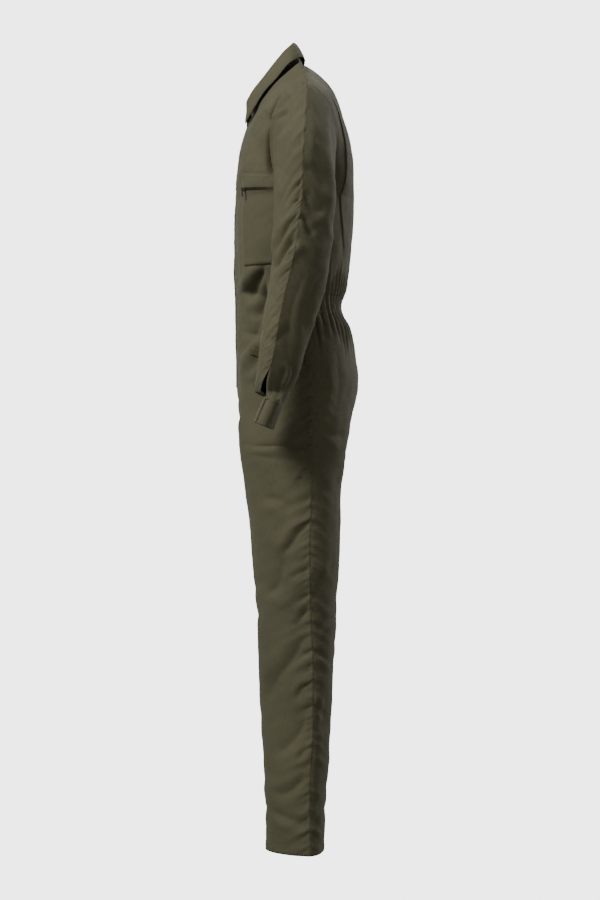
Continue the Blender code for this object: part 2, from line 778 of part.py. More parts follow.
OLIVE = (0.075, 0.067, 0.043)
OLIVE_LIGHT = (0.085, 0.076, 0.049)
OLIVE_DARK = (0.062, 0.056, 0.036)
TAPE = (0.030, 0.028, 0.020)
BRASS = (0.30, 0.26, 0.17)


def overlays(sheet):
    """Every piece that is laid on the left front, made from the front's own points."""
    grid = sheet.points.reshape(len(FRONT_LEVELS) + len(FRONT_STEPS), len(PLACES), 3)
    lean = sheet.normals.reshape(grid.shape)
    above = LAID + CLOTH / 2
    doubled = LAID + DOUBLE_CLOTH / 2
    slant = [np.array(WELT_TOP) - WELT_DROP, WELT_TOP]
    return [
        Sheet("breast_pocket_left", patch(grid, lean, POCKET_ROWS, POCKET_COLUMNS, above)),
        Sheet("chest_band_left", patch(grid, lean, BAND_ROWS, BAND_COLUMNS, above)),
        Sheet("breast_zip_left", patch(grid, lean, ZIP_ROWS, ZIP_COLUMNS, LAID + TAPE_CLOTH / 2),
              TAPE_CLOTH),
        Sheet("hip_welt_left", patch(grid, lean, slant, WELT_COLUMNS, doubled + WELT_LIFT), DOUBLE_CLOTH),
        Sheet("side_welt_left", patch(grid, lean, SIDE_ROWS, SIDE_COLUMNS, doubled), DOUBLE_CLOTH),
    ]


def front_placket(sheet):
    """The fly strip over the closure, laid on both fronts."""
    grid = sheet.points.reshape(len(FRONT_LEVELS) + len(FRONT_STEPS), len(PLACES), 3)
    lean = sheet.normals.reshape(grid.shape).copy()
    lean[:, 0, 0] = 0
    first = len(LEG_HEIGHTS) + len(RISE_STEPS) - 1
    last = len(FRONT_LEVELS) + FRONT_STEPS.index(NECK_STEP)
    rows = patch(grid, lean, range(first, last + 1), PLACKET_COLUMNS, LAID + DOUBLE_CLOTH / 2)
    for row in rows:
        row[0][0] = 0
    return both_sides("front_placket", rows, DOUBLE_CLOTH)


# ---------------------------------------------------------------- the breast pocket's zip slider and pull
SLIDER_OUTLINE = [(-4, 0), (4, 0), (4, 2.4), (3.2, 2.4), (3.2, 5.2), (2.1, 5.2), (2.1, 2.4),
                  (-2.1, 2.4), (-2.1, 5.2), (-3.2, 5.2), (-3.2, 2.4), (-4, 2.4)]
SLIDER_LENGTH = 9
PULL_OUTLINE = [(-1.7, 0.9), (-1.7, -4.4), (-2.6, -5.4), (-2.6, -12), (-1.8, -13.5),
                (1.8, -13.5), (2.6, -12), (2.6, -5.4), (1.7, -4.4), (1.7, 0.9)]
PULL_THICKNESS = 1.4
PULL_AXIS_RISE = 4.1
SLIDER_PLACE = (32.5, 5.25)
SLIDER_REACH = 0.1
SLIDER_LIFT = LAID + TAPE_CLOTH + 2 * LAID_GAP


def slab(outline, low, high, frame, centre):
    """A flat outline given thickness, in a frame of three directions about a centre."""
    count = len(outline)
    points = [centre + frame @ np.array([a, b, level]) for level in (low, high) for a, b in outline]
    faces = [tuple(range(count))[::-1], tuple(range(count, 2 * count))]
    faces += [(k, (k + 1) % count, count + (k + 1) % count, count + k) for k in range(count)]
    return np.array(points), faces


def zip_hardware(sheet, sign, side):
    """The slider and its pull tab on one breast pocket; the pull hangs from a hinge between two lugs."""
    grid = sheet.points.reshape(len(FRONT_LEVELS) + len(FRONT_STEPS), len(PLACES), 3)
    lean = sheet.normals.reshape(grid.shape)
    row, column = SLIDER_PLACE
    nearby = [column - SLIDER_REACH, column, column + SLIDER_REACH]
    spot = patch(grid, lean, [row], nearby, SLIDER_LIFT)[0]
    out = spot[1] - patch(grid, lean, [row], [column], 0)[0][0]
    out = out / np.linalg.norm(out)
    across = spot[2] - spot[0]
    across = across - out * (across @ out)
    across = across / np.linalg.norm(across)
    up = np.cross(out, across)
    flip = np.array([sign, 1, 1])
    half = SLIDER_LENGTH / 2
    body = np.stack([across, out, -up], axis=1)
    points, faces = slab(SLIDER_OUTLINE, -half, half, body, spot[1])
    plate = np.stack([across, up, out], axis=1)
    hinge = spot[1] + out * PULL_AXIS_RISE
    tab, tab_faces = slab(PULL_OUTLINE, -PULL_THICKNESS / 2, PULL_THICKNESS / 2, plate, hinge)
    if sign < 0:
        faces = [face[::-1] for face in faces]
        tab_faces = [face[::-1] for face in tab_faces]
    add_object("zip_slider_" + side, points * flip, faces, BRASS, 0.4, 1.0)
    pull = add_object("zip_pull_" + side, tab * flip, tab_faces, BRASS, 0.4, 1.0)
    pivot = (hinge * flip - np.array([0, 0, HOLD_HEIGHT])) * MM
    for vertex in pull.data.vertices:
        vertex.co = [vertex.co[k] - pivot[k] for k in range(3)]
    pull.location = pivot
    print("hinge", side, [round(float(value), 5) for value in pivot],
          "axis", [round(float(value), 4) for value in across * flip])


# ---------------------------------------------------------------- the whole garment
def build():
    """Cut every piece, match the seams, and give the cloth its thickness."""
    for thing in list(bpy.data.objects):
        bpy.data.objects.remove(thing, do_unlink=True)
    front = Sheet("front_left", front_rows())
    seat = Sheet("back_leg_left", seat_rows(), turned=True)
    sleeve_front = Sheet("sleeve_front_left", sleeve_rows(False))
    sleeve_back = Sheet("sleeve_back_left", sleeve_rows(True), turned=True)
    cuff = Sheet("cuff_left", cuff_rows(), DOUBLE_CLOTH)
    stand, fall = collar_rows()
    whole = [
        both_sides("back_waist", casing_rows(), turned=True),
        both_sides("back_upper", bodice_rows(), turned=True),
        both_sides("collar_stand", stand),
        both_sides("collar_fall", fall),
    ]
    halves = [front, seat, sleeve_front, sleeve_back, cuff]
    seamed = halves + [half.mirrored(half.name.replace("_left", "_right")) for half in halves] + whole
    match_seams(seamed)
    laid = overlays(front)
    laid += [half.mirrored(half.name.replace("_left", "_right")) for half in laid]
    laid.append(front_placket(front))
    zip_hardware(front, 1, "left")
    zip_hardware(front, -1, "right")
    for sheet in seamed + laid:
        trim_rim(sheet)
    for sheet in seamed + laid:
        colour = OLIVE
        if "zip" in sheet.name:
            colour = TAPE
        elif "collar" in sheet.name or "cuff" in sheet.name or "band" in sheet.name:
            colour = OLIVE_LIGHT
        elif "back" in sheet.name:
            colour = OLIVE_DARK
        thing = make_wall(sheet, colour)
        print(sheet.name, sum(len(face.vertices) - 2 for face in thing.data.polygons))


build()
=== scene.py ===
# %% [markdown]
# # A boiler suit, dressed over its plain pattern
#
# A boiler suit is one garment from collar to hem: two long fronts, a back bodice drawn in by elastic,
# a seat cut with the backs of the legs, and sleeves cut in two halves. The plain solids already have
# its size and form. Here each panel is laid again as a fine sheet of twill, and is given the creases,
# gathers, seams and stitches that make cloth look sewn. We start by loading the plain model, whose
# pieces the new ones stand in for.

import math

import bmesh
import bpy
import numpy as np
from mathutils import Matrix, Vector


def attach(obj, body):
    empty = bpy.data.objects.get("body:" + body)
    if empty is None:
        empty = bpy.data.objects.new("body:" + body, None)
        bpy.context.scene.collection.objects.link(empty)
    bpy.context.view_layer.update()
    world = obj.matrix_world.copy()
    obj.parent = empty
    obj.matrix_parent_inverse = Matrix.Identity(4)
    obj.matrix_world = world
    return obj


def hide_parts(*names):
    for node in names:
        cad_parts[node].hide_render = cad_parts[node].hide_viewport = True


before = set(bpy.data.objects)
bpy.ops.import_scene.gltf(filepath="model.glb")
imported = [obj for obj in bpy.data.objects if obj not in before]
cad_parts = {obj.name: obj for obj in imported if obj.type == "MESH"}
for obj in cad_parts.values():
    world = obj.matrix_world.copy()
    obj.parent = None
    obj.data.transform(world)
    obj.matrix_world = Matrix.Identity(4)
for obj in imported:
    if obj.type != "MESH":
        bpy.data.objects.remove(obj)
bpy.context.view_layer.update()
bpy.ops.object.select_all(action="DESELECT")

# %% [markdown]
# ## The pattern's sizes
#
# A pattern cutter works from a short table of measures. Ours are sections: for each height above the
# hem, where the front, the back and the side seam of the body stand, in millimetres. The sheets below
# read these tables along smooth curves, so a handful of rows is enough for a whole panel.

# %% Tables of sizes
# Heights above the hem, except where a comment says otherwise.
HOLD_HEIGHT = 1500
CROTCH_HEIGHT = 783
KNEE_HEIGHT = 450
RISE_TOP = 900
UNDERARM = 1262
CASING_BOTTOM = 1036
CASING_MIDDLE = 1055
CASING_TOP = 1074
# The row of the front's yoke where the neckline starts, and how far the collar stands over it.
NECK_STEP = 0.72
NECK_RISE = 0.9
# How full the curves of a section are, and how far two seams stand in from the widest line.
FULLNESS = 0.66
LEG_FULLNESS = 0.59
SLEEVE_FULLNESS = 0.58
OVERARM_RIDGE = 9
SIDE_RIDGE = 6
THIGH_CROWDING = 0.4
# The suit is built on its left side; the right side mirrors it.
SIDES = (("left", 1), ("right", -1))

# Half sections of the trunk: where its front, back and side seam stand at each height.
TRUNK = np.array([
    # height, front, back, half width, side seam
    (783, -118, 92, 214, 24),
    (831, -124, 103, 212, 24),
    (879, -126, 112, 211, 24),
    (919, -126, 116, 209, 23),
    (955, -126, 112, 205, 21),
    (991, -127, 106, 199, 18),
    (1015, -127, 99, 192, 15),
    (1036, -128, 86, 184, 13),
    (1058, -128, 79, 180, 10),
    (1099, -129, 90, 184, 8),
    (1123, -130, 96, 190, 8),
    (1171, -129, 102, 198, 7),
    (1243, -127, 106, 204, 6),
    (1265, -126, 107, 205, 6),
], float)

# Sections of one leg: where its front, back and outside stand at each height, and its two seams.
LEG = np.array([
    # height, front, back, outside, seams
    (0, -66, 45, 190, 19),
    (60, -67, 48, 191, 19),
    (128, -70, 53, 194, 19),
    (245, -74, 59, 198, 25),
    (362, -80, 66, 203, 25),
    (479, -85, 72, 208, 20),
    (595, -94, 76, 212, 19),
    (673, -103, 78, 215, 22),
    (783, -118, 92, 214, 24),
    (900, -128, 112, 210, 24),
], float)

# The inside of the leg: half the space between the legs at each height.
INSEAM = np.array([
    # height, inside
    (0, 27),
    (128, 26),
    (245, 24),
    (362, 22),
    (479, 19),
    (595, 16),
    (700, 13),
    (750, 10),
    (772, 6.5),
    (780, 3.2),
    (783, 0),
    (900, 0),
], float)

# Above the underarm, each row of the front runs from its inner edge (centre, then neckline) to its
# outer edge (armhole); the last row is the shoulder seam. Reaches are the lengths of the curve's ends.
FRONT_YOKE = np.array([
    # row, inner x y z, outer x y z, inner reach, outer run x y z
    (0.00, 0, -126, 1265, 205, 6, 1265, 135, 0, 88, 0),
    (0.12, 0, -126, 1300, 200, -30, 1281, 140, 12, 67, 0),
    (0.28, 0, -123, 1334, 197, -50, 1325, 120, 26, 46, 0),
    (0.44, 0, -117, 1371, 202, -53, 1368, 100, 34, 38, -4),
    (0.60, 0, -107, 1407, 208, -50, 1404, 80, 42, 27, -10),
    (0.72, 0, -94, 1434, 213, -43, 1430, 70, 44, 20, -16),
    (0.82, 37, -83, 1456, 218, -32, 1447, 50, 42, 12, -20),
    (0.91, 66, -50, 1493, 223, -12, 1461, 38, 42, 6, -22),
    (1.00, 80, -1, 1534, 226, 14, 1468, 40, 44, 4, -24),
], float)

# The back bodice in the same way, from the centre back and the back neckline to the armhole.
BACK_YOKE = np.array([
    # row, inner x y z, outer x y z, inner reach, outer run x y z
    (0.00, 0, 107, 1265, 205, 6, 1265, 135, 0, -67, 0),
    (0.12, 0, 106, 1300, 203, 36, 1277, 140, 8, -60, 0),
    (0.28, 0, 103, 1345, 204, 62, 1318, 120, 24, -44, 0),
    (0.44, 0, 96, 1387, 208, 69, 1365, 100, 34, -28, -4),
    (0.60, 0, 85, 1432, 214, 65, 1408, 80, 42, -14, -10),
    (0.74, 0, 68, 1483, 220, 55, 1437, 70, 44, -6, -16),
    (0.86, 0, 40, 1519, 224, 38, 1456, 56, 44, -2, -20),
    (0.94, 0, 5, 1543, 226, 26, 1464, 48, 44, 0, -22),
    (1.00, 80, -1, 1534, 226, 14, 1468, 40, 44, 4, -24),
], float)

# Level sections of the left sleeve below its head, and where the overarm seam runs on its outside.
SLEEVE = np.array([
    # height, front, back, inside, outside, overarm seam
    (880, -81, -19, 240, 328, -68),
    (900, -82, -10, 238, 332, -64),
    (927, -79, 0, 236, 334, -54),
    (963, -75, 11, 233, 336, -46),
    (1010, -69, 26, 229, 338, -38),
    (1056, -62, 42, 224, 339, -29),
    (1103, -56, 52, 219, 338, -17),
    (1150, -53, 58, 214, 335, -8),
    (1197, -51, 63, 211, 331, -2),
    (1244, -50, 68, 209, 326, 4),
], float)

# The turned collar by share of the neckline: the line it rolls over on, and its free edge.
COLLAR = np.array([
    # station, roll x y z, edge x y z
    (0.00, 3, -106, 1472, 56, -107, 1419),
    (0.14, 28, -94, 1488, 70, -91, 1447),
    (0.30, 51, -74, 1509, 79, -70, 1478),
    (0.44, 64, -51, 1536, 89, -46, 1502),
    (0.56, 69, -33, 1557, 94, -22, 1530),
    (0.70, 60, -19, 1572, 82, -2, 1545),
    (0.84, 36, -13, 1581, 46, 7, 1551),
    (1.00, 0, -11, 1584, 0, 10, 1554),
], float)

# The bow of the collar's stand, and how its fall rolls out, up and over, and lies on the shoulder.
COLLAR_FRONT_GAP = 1.0
STAND_BOW = 1.5
FALL_OUT = 4
FALL_UP = 5
FALL_LIE = 0.4
FALL_BOW = 5

# The cuff: a level-ish ring at its top and another at its open end.
CUFF = np.array([
    # height, centre x y, half width, half depth
    (820, 283, -68, 54, 19),
    (869, 285, -48, 53, 18),
], float)
CUFF_TOP = 869
CUFF_BOTTOM = 820
CUFF_DROP = 1.4
CUFF_TILT = math.radians(22)
CUFF_SQUARENESS = 0.85
# The cuff's end laps over its start, and rises off it over the last quarter of the way round.
CUFF_LAP = 14
CUFF_RADIUS = 40
CUFF_LAP_RISE = 2.6
LAP_START = 0.75
# The sleeve starts level under its head, gapes at a slit above the cuff, and ends inside the cuff.
SLEEVE_TOP = 1244
SLEEVE_TAIL = 5
SLIT_TOP = 930
SLIT_RUN = 45
SLIT_GAPE = 8
SLIT_ANGLE = math.radians(-50)
SLIT_HALF_ANGLE = math.radians(9)

# The sleeve head: how its lines leave the armhole, outwards and downwards, as a value at the overarm
# seam and its change by the underarm; and how they arrive at the first level section.
HEAD_LEAVE = (0.86, -0.5)
HEAD_LEAVE_DOWN = (-0.5, -0.45)
HEAD_BULGE = 0.12
HEAD_ARRIVE = np.array([0.08, 0, -1])

# Gathers in the elastic back waist, counted on one half.
GATHERS = 14

# Action pleat in the back: how far from the centre it stands, and its three layers.
PLEAT = np.array([
    # flat run from the fold, folded run, height off the back
    (-60, -60, 0),
    (-30, -26, 6.6),
    (-12, -3, 7.2),
    (-8, 0, 5.8),
    (-3, -3, 3.9),
    (8, -17, 3.4),
    (12, -19, 1.6),
    (17, -16, 0),
    (32, 4, 0),
], float)
PLEAT_PLACE = np.array([
    # row height at the centre, distance of the fold from the armhole or side, how far it is folded
    (1075, 100, 0),
    (1130, 101, 0.25),
    (1200, 96, 0.9),
    (1265, 86, 1),
    (1300, 57, 1),
    (1345, 37, 1),
    (1387, 33, 1),
    (1432, 34, 0.9),
    (1483, 36, 0.6),
    (1519, 40, 0.2),
    (1544, 40, 0),
], float)
TABLES = (TRUNK, LEG, INSEAM, FRONT_YOKE, BACK_YOKE, SLEEVE, COLLAR)
print("rows in the tables:", sum(len(table) for table in TABLES))

# %% [markdown]
# ## Reading a table, and drawing a section
#
# A smooth reading of a table must never overshoot its rows, or the waist would bulge above the belt.
# The slope at each row is therefore the harmonic mean of its neighbours' slopes. A section is drawn as
# a curve that leaves its two ends towards the corner between them, which is how cloth rounds a body.

# %% Curve tools
def ease(t):
    """A smooth step from 0 to 1."""
    t = np.clip(t, 0, 1)
    return t * t * (3 - 2 * t)


def unit(ways):
    """The same ways, each one long."""
    return ways / np.linalg.norm(ways, axis=-1, keepdims=True)


def read(table, at):
    """The values of a table at a place between its rows."""
    place = table[:, 0]
    value = table[:, 1:]
    step = np.diff(place)[:, None]
    slope = np.diff(value, axis=0) / step
    before = slope[:-1]
    after = slope[1:]
    agree = before * after > 0
    total = np.where(agree, before + after, 1)
    middle = np.where(agree, 2 * before * after / total, 0)
    lean = np.vstack([slope[:1], middle, slope[-1:]])
    k = int(np.clip(np.searchsorted(place, at, "right") - 1, 0, len(step) - 1))
    t = float(np.clip((at - place[k]) / step[k, 0], 0, 1))
    share = 3 * t**2 - 2 * t**3
    out = (t**3 - 2 * t**2 + t) * step[k, 0] * lean[k] + (t**3 - t**2) * step[k, 0] * lean[k + 1]
    return (1 - share) * value[k] + share * value[k + 1] + out


def bezier(start, handle, other, end, count=40):
    """Points of a curve that leaves its start by one handle and comes to its end by the other."""
    t = np.linspace(0, 1, count)[:, None]
    return ((1 - t)**3 * start + 3 * (1 - t)**2 * t * handle
            + 3 * (1 - t) * t**2 * other + t**3 * end)


def quadrant(start, corner, end, fullness):
    """A rounded corner."""
    return bezier(start, start + fullness * (corner - start), end + fullness * (corner - end), end)


def lengths(curve):
    """How far along a curve each of its points stands."""
    return np.concatenate([[0], np.cumsum(np.linalg.norm(np.diff(curve, axis=0), axis=1))])


def at_lengths(values, run, wanted):
    """Values at wanted lengths along a line, where run gives the length of each of its points."""
    return np.stack([np.interp(wanted, run, values[:, k]) for k in range(3)], axis=1)


def spread(curve, places):
    """Points at given shares of a curve's length."""
    run = lengths(curve)
    return at_lengths(curve, run, np.asarray(places) * run[-1])


# %% Sections of the trunk, the legs and the sleeves
def trunk_row(height, back):
    """Half a level section of the trunk, from its centre line to the side seam."""
    front, rear, half, side = read(TRUNK, height)
    depth = rear if back else front
    start = np.array([0, depth, height])
    end = np.array([half, side, height])
    return quadrant(start, np.array([half, depth, height]), end, FULLNESS)


def leg_row(height, back):
    """Half a level section of the leg, from the inseam round to the side seam."""
    front, rear, outside, seam = read(LEG, height)
    inside = read(INSEAM, height)[0]
    depth = rear if back else front
    middle = np.array([(inside + outside) / 2, depth, height])
    first = quadrant(np.array([inside, seam, height]), np.array([inside, depth, height]),
                     middle, LEG_FULLNESS)
    second = quadrant(middle, np.array([outside - SIDE_RIDGE, depth, height]),
                      np.array([outside, seam, height]), LEG_FULLNESS)
    return np.vstack([first, second[1:]])


def leg_places(height, places):
    """Shares round the leg: near the crotch they crowd to the outside, to run on into the trunk's."""
    climb = min(1, max(0, (height - KNEE_HEIGHT) / (CROTCH_HEIGHT - KNEE_HEIGHT)))
    return np.array(places) ** (1 - THIGH_CROWDING * climb**2 * (3 - 2 * climb))


def body_row(height, back, places):
    """A row of the front or back below the underarm, with the rise blended in above the crotch."""
    if height <= CROTCH_HEIGHT:
        return spread(leg_row(height, back), leg_places(height, places))
    trunk = spread(trunk_row(height, back), places)
    if height >= RISE_TOP:
        return trunk
    climb = 1 - (height - CROTCH_HEIGHT) / (RISE_TOP - CROTCH_HEIGHT)
    at_seam = 1 - math.sqrt(1 - climb**2)
    at_side = 3 * climb**2 - 2 * climb**3
    near = ((1 - np.array(places))**4)[:, None]
    share = at_seam * near + at_side * (1 - near)
    return (1 - share) * trunk + share * spread(leg_row(height, back), leg_places(height, places))


def yoke_row(table, row, places):
    """A row of the front or back above the underarm."""
    value = read(table, row)
    inner = value[0:3]
    outer = value[3:6]
    return spread(bezier(inner, inner + (value[6], 0, 0), outer - value[7:10], outer), places)


def sleeve_half(height, back):
    """Half a section of the sleeve, from the overarm seam round to the underarm seam."""
    front, rear, inside, outside, seam = read(SLEEVE, height)
    depth = rear if back else front
    top = np.array([outside, seam, height])
    far = np.array([(inside + outside) / 2, depth, height])
    bottom = np.array([inside, (front + rear) / 2, height])
    first = quadrant(top, np.array([outside - OVERARM_RIDGE, depth, height]), far, SLEEVE_FULLNESS)
    second = quadrant(far, np.array([inside, depth, height]), bottom, SLEEVE_FULLNESS)
    return np.vstack([first, second[1:]])

# %% [markdown]
# ## Creases, puckers and gathers
#
# Cloth tells its story in its creases. Each main crease is listed: a line seen from the side,
# the front or the back, with its own width and depth, and a roll of cloth on one of its sides. A
# trough with a raised shoulder reads as a real fold, where a plain groove reads as a scratch.

# %% Main creases, listed one by one
CREASES = {
    # the line's two ends (across, height), width, depth, side of the raised roll
    "sleeve side": [
        (0, 1203, -53, 1144, 7, -3.2, 1), (-6, 1160, -56, 1112, 9, -6.0, -1),
        (2, 1201, 24, 1173, 6, -3.6, 1), (6, 1240, 46, 1216, 15, -3.0, 1),
        (10, 1158, 46, 1150, 14, 1.0, 0), (44, 1196, 58, 1160, 10, -0.8, -1),
        (-42, 1418, -18, 1440, 5, -3.4, 1), (-44, 1396, -26, 1412, 5, -2.6, -1),
        (-50, 1368, -14, 1384, 9, -2.0, 1),
        (-40, 1330, -44, 1240, 12, 2.2, 0), (14, 1390, 34, 1290, 20, 2.0, 0),
        (40, 1330, 52, 1250, 12, -0.9, -1), (6, 1300, 48, 1262, 14, -2.4, 1),
        (-52, 1040, -66, 920, 9, 1.8, 0), (4, 1090, -26, 930, 16, -1.8, 0),
        (34, 1090, 6, 985, 12, -2.0, 1), (-30, 925, -36, 880, 5, -2.2, -1),
        (-12, 930, -26, 884, 6, -2.4, 1), (-20, 1006, -46, 968, 10, -1.6, 1),
    ],
    "sleeve front": [
        (240, 1215, 320, 1170, 10, -3.2, 1), (238, 1150, 318, 1105, 9, -3.0, -1),
        (250, 1020, 320, 985, 9, -2.2, 1), (236, 1330, 260, 1230, 12, -2.4, 1),
    ],
    "sleeve back": [
        (236, 1214, 296, 1192, 12, -2.6, 1), (236, 1150, 292, 1136, 12, -2.2, -1),
        (246, 1020, 296, 1040, 11, -1.8, 1), (250, 1400, 262, 1270, 14, -2.4, -1),
    ],
    "body side": [
        (-106, 1262, -104, 1008, 6, 2.0, 0), (-64, 1092, -108, 975, 13, -9.5, -1),
        (-76, 1126, -98, 1062, 9, -6.0, 1), (-72, 1030, -96, 925, 9, -6.0, 1),
        (-70, 1075, -88, 1030, 7, -4.0, -1),
        (-112, 1086, -78, 1062, 8, -2.4, 1), (-66, 1420, -52, 1312, 7, -4.0, -1),
        (-96, 1400, -84, 1330, 12, -1.8, 1), (-88, 784, 22, 778, 4.0, -1.3, 1),
        (-92, 762, 10, 758, 4.0, -0.9, -1), (16, 740, -6, 716, 5, -1.8, 1),
        (14, 626, -34, 582, 9, -2.8, 1), (-66, 500, -20, 566, 20, -3.6, 1),
        (16, 560, -16, 528, 7, -1.8, -1), (0, 416, -54, 300, 15, -2.8, 1),
        (14, 470, -12, 440, 7, -1.6, 1), (10, 264, -40, 186, 13, -2.2, -1),
        (16, 330, -8, 304, 6, -1.5, 1), (12, 150, -44, 112, 11, -2.0, 1),
        (15, 205, -6, 186, 6, -1.5, -1), (-52, 86, 10, 52, 9, -1.8, 1),
        (78, 960, 66, 850, 14, -1.4, 1), (96, 905, 60, 822, 14, -1.3, -1),
        (54, 930, 48, 830, 12, 1.2, 0), (82, 796, 38, 812, 12, -1.6, -1),
        (78, 722, 40, 692, 11, -1.3, 1), (64, 560, 36, 500, 12, -1.4, 1),
        (62, 455, 34, 430, 8, -1.2, -1), (56, 300, 34, 240, 12, -2.0, 1),
        (48, 120, 28, 74, 10, -2.0, -1), (-60, 690, -20, 660, 12, -1.8, 1),
        (-112, 1010, -66, 982, 9, -2.0, 1), (-108, 905, -44, 872, 13, -2.0, -1),
    ],
    "body front": [
        (12, 806, 118, 852, 9, -4.5, 1), (8, 792, 104, 772, 9, -3.4, -1),
        (14, 838, 90, 905, 10, -3.0, 1), (182, 1322, 62, 1262, 13, -2.8, 1),
        (150, 1084, 36, 1060, 11, -3.2, 1), (138, 1018, 42, 1034, 10, -2.6, -1),
        (56, 474, 150, 452, 12, -3.0, 1), (170, 520, 70, 500, 11, -2.4, -1),
        (52, 92, 150, 70, 10, -3.0, 1), (160, 150, 62, 128, 10, -2.2, -1),
        (60, 300, 120, 240, 14, -2.2, 1), (60, 1180, 80, 1110, 12, -2.4, -1),
        (96, 700, 106, 560, 20, 2.4, 0), (110, 420, 104, 200, 18, 2.0, 0),
        (200, 1400, 110, 1425, 12, -2.0, 1),
    ],
    "body back": [
        (16, 806, 132, 776, 11, -4.2, 1), (152, 764, 56, 724, 11, -3.2, -1),
        (20, 850, 84, 822, 12, -2.8, 1), (50, 506, 160, 482, 15, -2.2, 1),
        (166, 462, 60, 440, 15, -1.9, -1), (62, 408, 150, 388, 9, -2.2, 1),
        (60, 240, 150, 190, 13, -2.2, 1), (48, 62, 150, 84, 9, -2.6, -1),
        (154, 128, 66, 112, 9, -1.8, 1), (122, 1422, 106, 1180, 20, 2.6, 0),
        (52, 1310, 40, 1140, 15, -3.0, 1), (20, 1402, 118, 1382, 16, -2.0, 1),
        (90, 1260, 78, 1130, 12, -2.6, -1), (110, 660, 112, 540, 18, 2.2, 0),
        (12, 1200, 26, 1120, 10, -2.0, -1),
    ],
}
# %% Pressing the creases in
# How soft the creases of each view are, and how strong.
CREASE_SOFTNESS = {"side": 2.0, "front": 6.0, "back": 6.0}
CREASE_STRENGTH = {"side": 2.0, "front": 0.75, "back": 0.75}
# The right side's seeds start here. Chance moves, turns and swells its creases by up to so much.
RIGHT_SEEDS = 100
CREASE_SHIFT = 9
CREASE_TURN = 7
CREASE_SWELL = 0.3


def crease_depth(points, normals, where, seed):
    """How far the creases of one part of the garment move each point along its normal."""
    depth = np.zeros(points.shape[:-1])
    for view in ("side", "front", "back"):
        across = points[..., 1] if view == "side" else points[..., 0]
        facing = {"side": normals[..., 0], "front": -normals[..., 1], "back": normals[..., 1]}[view]
        seen = ease((facing - 0.04) / 0.34)
        luck = np.random.default_rng(seed + len(view))
        for a0, z0, a1, z1, width, size, roll in CREASES[f"{where} {view}"]:
            shift, swell, turn = luck.uniform(-1, 1, 3) * (seed > RIGHT_SEEDS)
            z0, z1 = z0 + CREASE_SHIFT * shift, z1 + CREASE_SHIFT * shift + CREASE_TURN * turn
            size = size * (1 + CREASE_SWELL * swell)
            length = math.hypot(a1 - a0, z1 - z0)
            along_a, along_z = (a1 - a0) / length, (z1 - z0) / length
            da, dz = across - a0, points[..., 2] - z0
            along = (da * along_a + dz * along_z) / length
            # the line wanders a little, and the crease opens towards its second end
            off = da * along_z - dz * along_a
            off = off + width * 0.45 * np.sin(along * 4 + z0)
            open_width = width * (0.75 + 0.5 * np.clip(along, 0, 1))
            taper = ease((along + 0.18) / 0.4) * ease((1.18 - along) / 0.4)
            sharp = np.sqrt(off**2 + CREASE_SOFTNESS[view]**2) - CREASE_SOFTNESS[view]
            shape = np.exp(-1.15 * sharp / open_width)
            shape = shape - 0.55 * abs(roll) * np.exp(-((off - roll * 1.7 * width) / (1.2 * width))**2)
            depth += CREASE_STRENGTH[view] * size * shape * taper * seen
    return depth


print("creases placed:", sum(len(rows) for rows in CREASES.values()))

# %% [markdown]
# Between the main creases cloth is never quite smooth. A few slow waves in chance directions give it
# breath, and beside a stitched seam the thread draws the cloth into short puckers, uneven in spacing
# and length. Both come from seeded numbers, so the suit is the same each time it is made.

# %% Slow waves and seam puckers
def breath(points, size, wave, seed):
    """Slow uneven waves of a size and wavelength in millimetres."""
    luck = np.random.default_rng(seed)
    total = np.zeros(points.shape[:-1])
    for _ in range(7):
        way = luck.normal(size=3) * (1, 1, 0.7)
        way = way / np.linalg.norm(way)
        total += np.sin(points @ way * 2 * math.pi / (wave * luck.uniform(0.7, 1.5)) + luck.uniform(0, 6))
    return size * total / 3


def ripple(along, spacing, seed):
    """Uneven puckers along a seam: numbers from -1 to 1 that change over about one spacing."""
    luck = np.random.default_rng(seed)
    knots = luck.uniform(-1, 1, 4000)
    knots[::2] = np.abs(knots[::2])
    knots[1::2] = -np.abs(knots[1::2])
    place = along / spacing * 2 + 0.6 * np.sin(along / spacing * 0.9)
    low = np.floor(place).astype(int)
    t = ease(place - low)
    return knots[low % 4000] * (1 - t) + knots[(low + 1) % 4000] * t


def pucker(distance, along, spacing, reach, size, seed):
    """Puckers that start at a seam and die away from it, each over its own length."""
    own = 1 + 0.5 * ripple(along, spacing * 2.3, seed + 5)
    return size * ripple(along, spacing, seed) * np.exp(-(distance / (reach * own))**2)


def drawn(distance, along, seed, size=1.0, reach=1.0):
    """The puckers of a seam: short ones among long ones, all slanting down from it, shared by both sheets."""
    slanted = along + 0.55 * distance
    held = 0.35 + 0.65 * ease(distance / 7)
    return size * held * (pucker(distance, slanted, 13, 12 * reach, 1.7, seed)
                          + pucker(distance, slanted, 31, 28 * reach, 1.9, seed + 1))


def ridge(distance, size, reach):
    """The stiff seam stands out a little between the softer cloths on its two sides."""
    return size * np.exp(-distance / reach)


def welt(distance, width, rise, soft=1.0):
    """A turned or felled edge: the cloth is doubled for a width from the seam, then steps down."""
    return rise * (1 - ease((distance - width) / soft))


def groove(distance, size=0.8, reach=1.6):
    """The small dip at the seam line itself."""
    return -size * np.exp(-(distance / reach)**2)


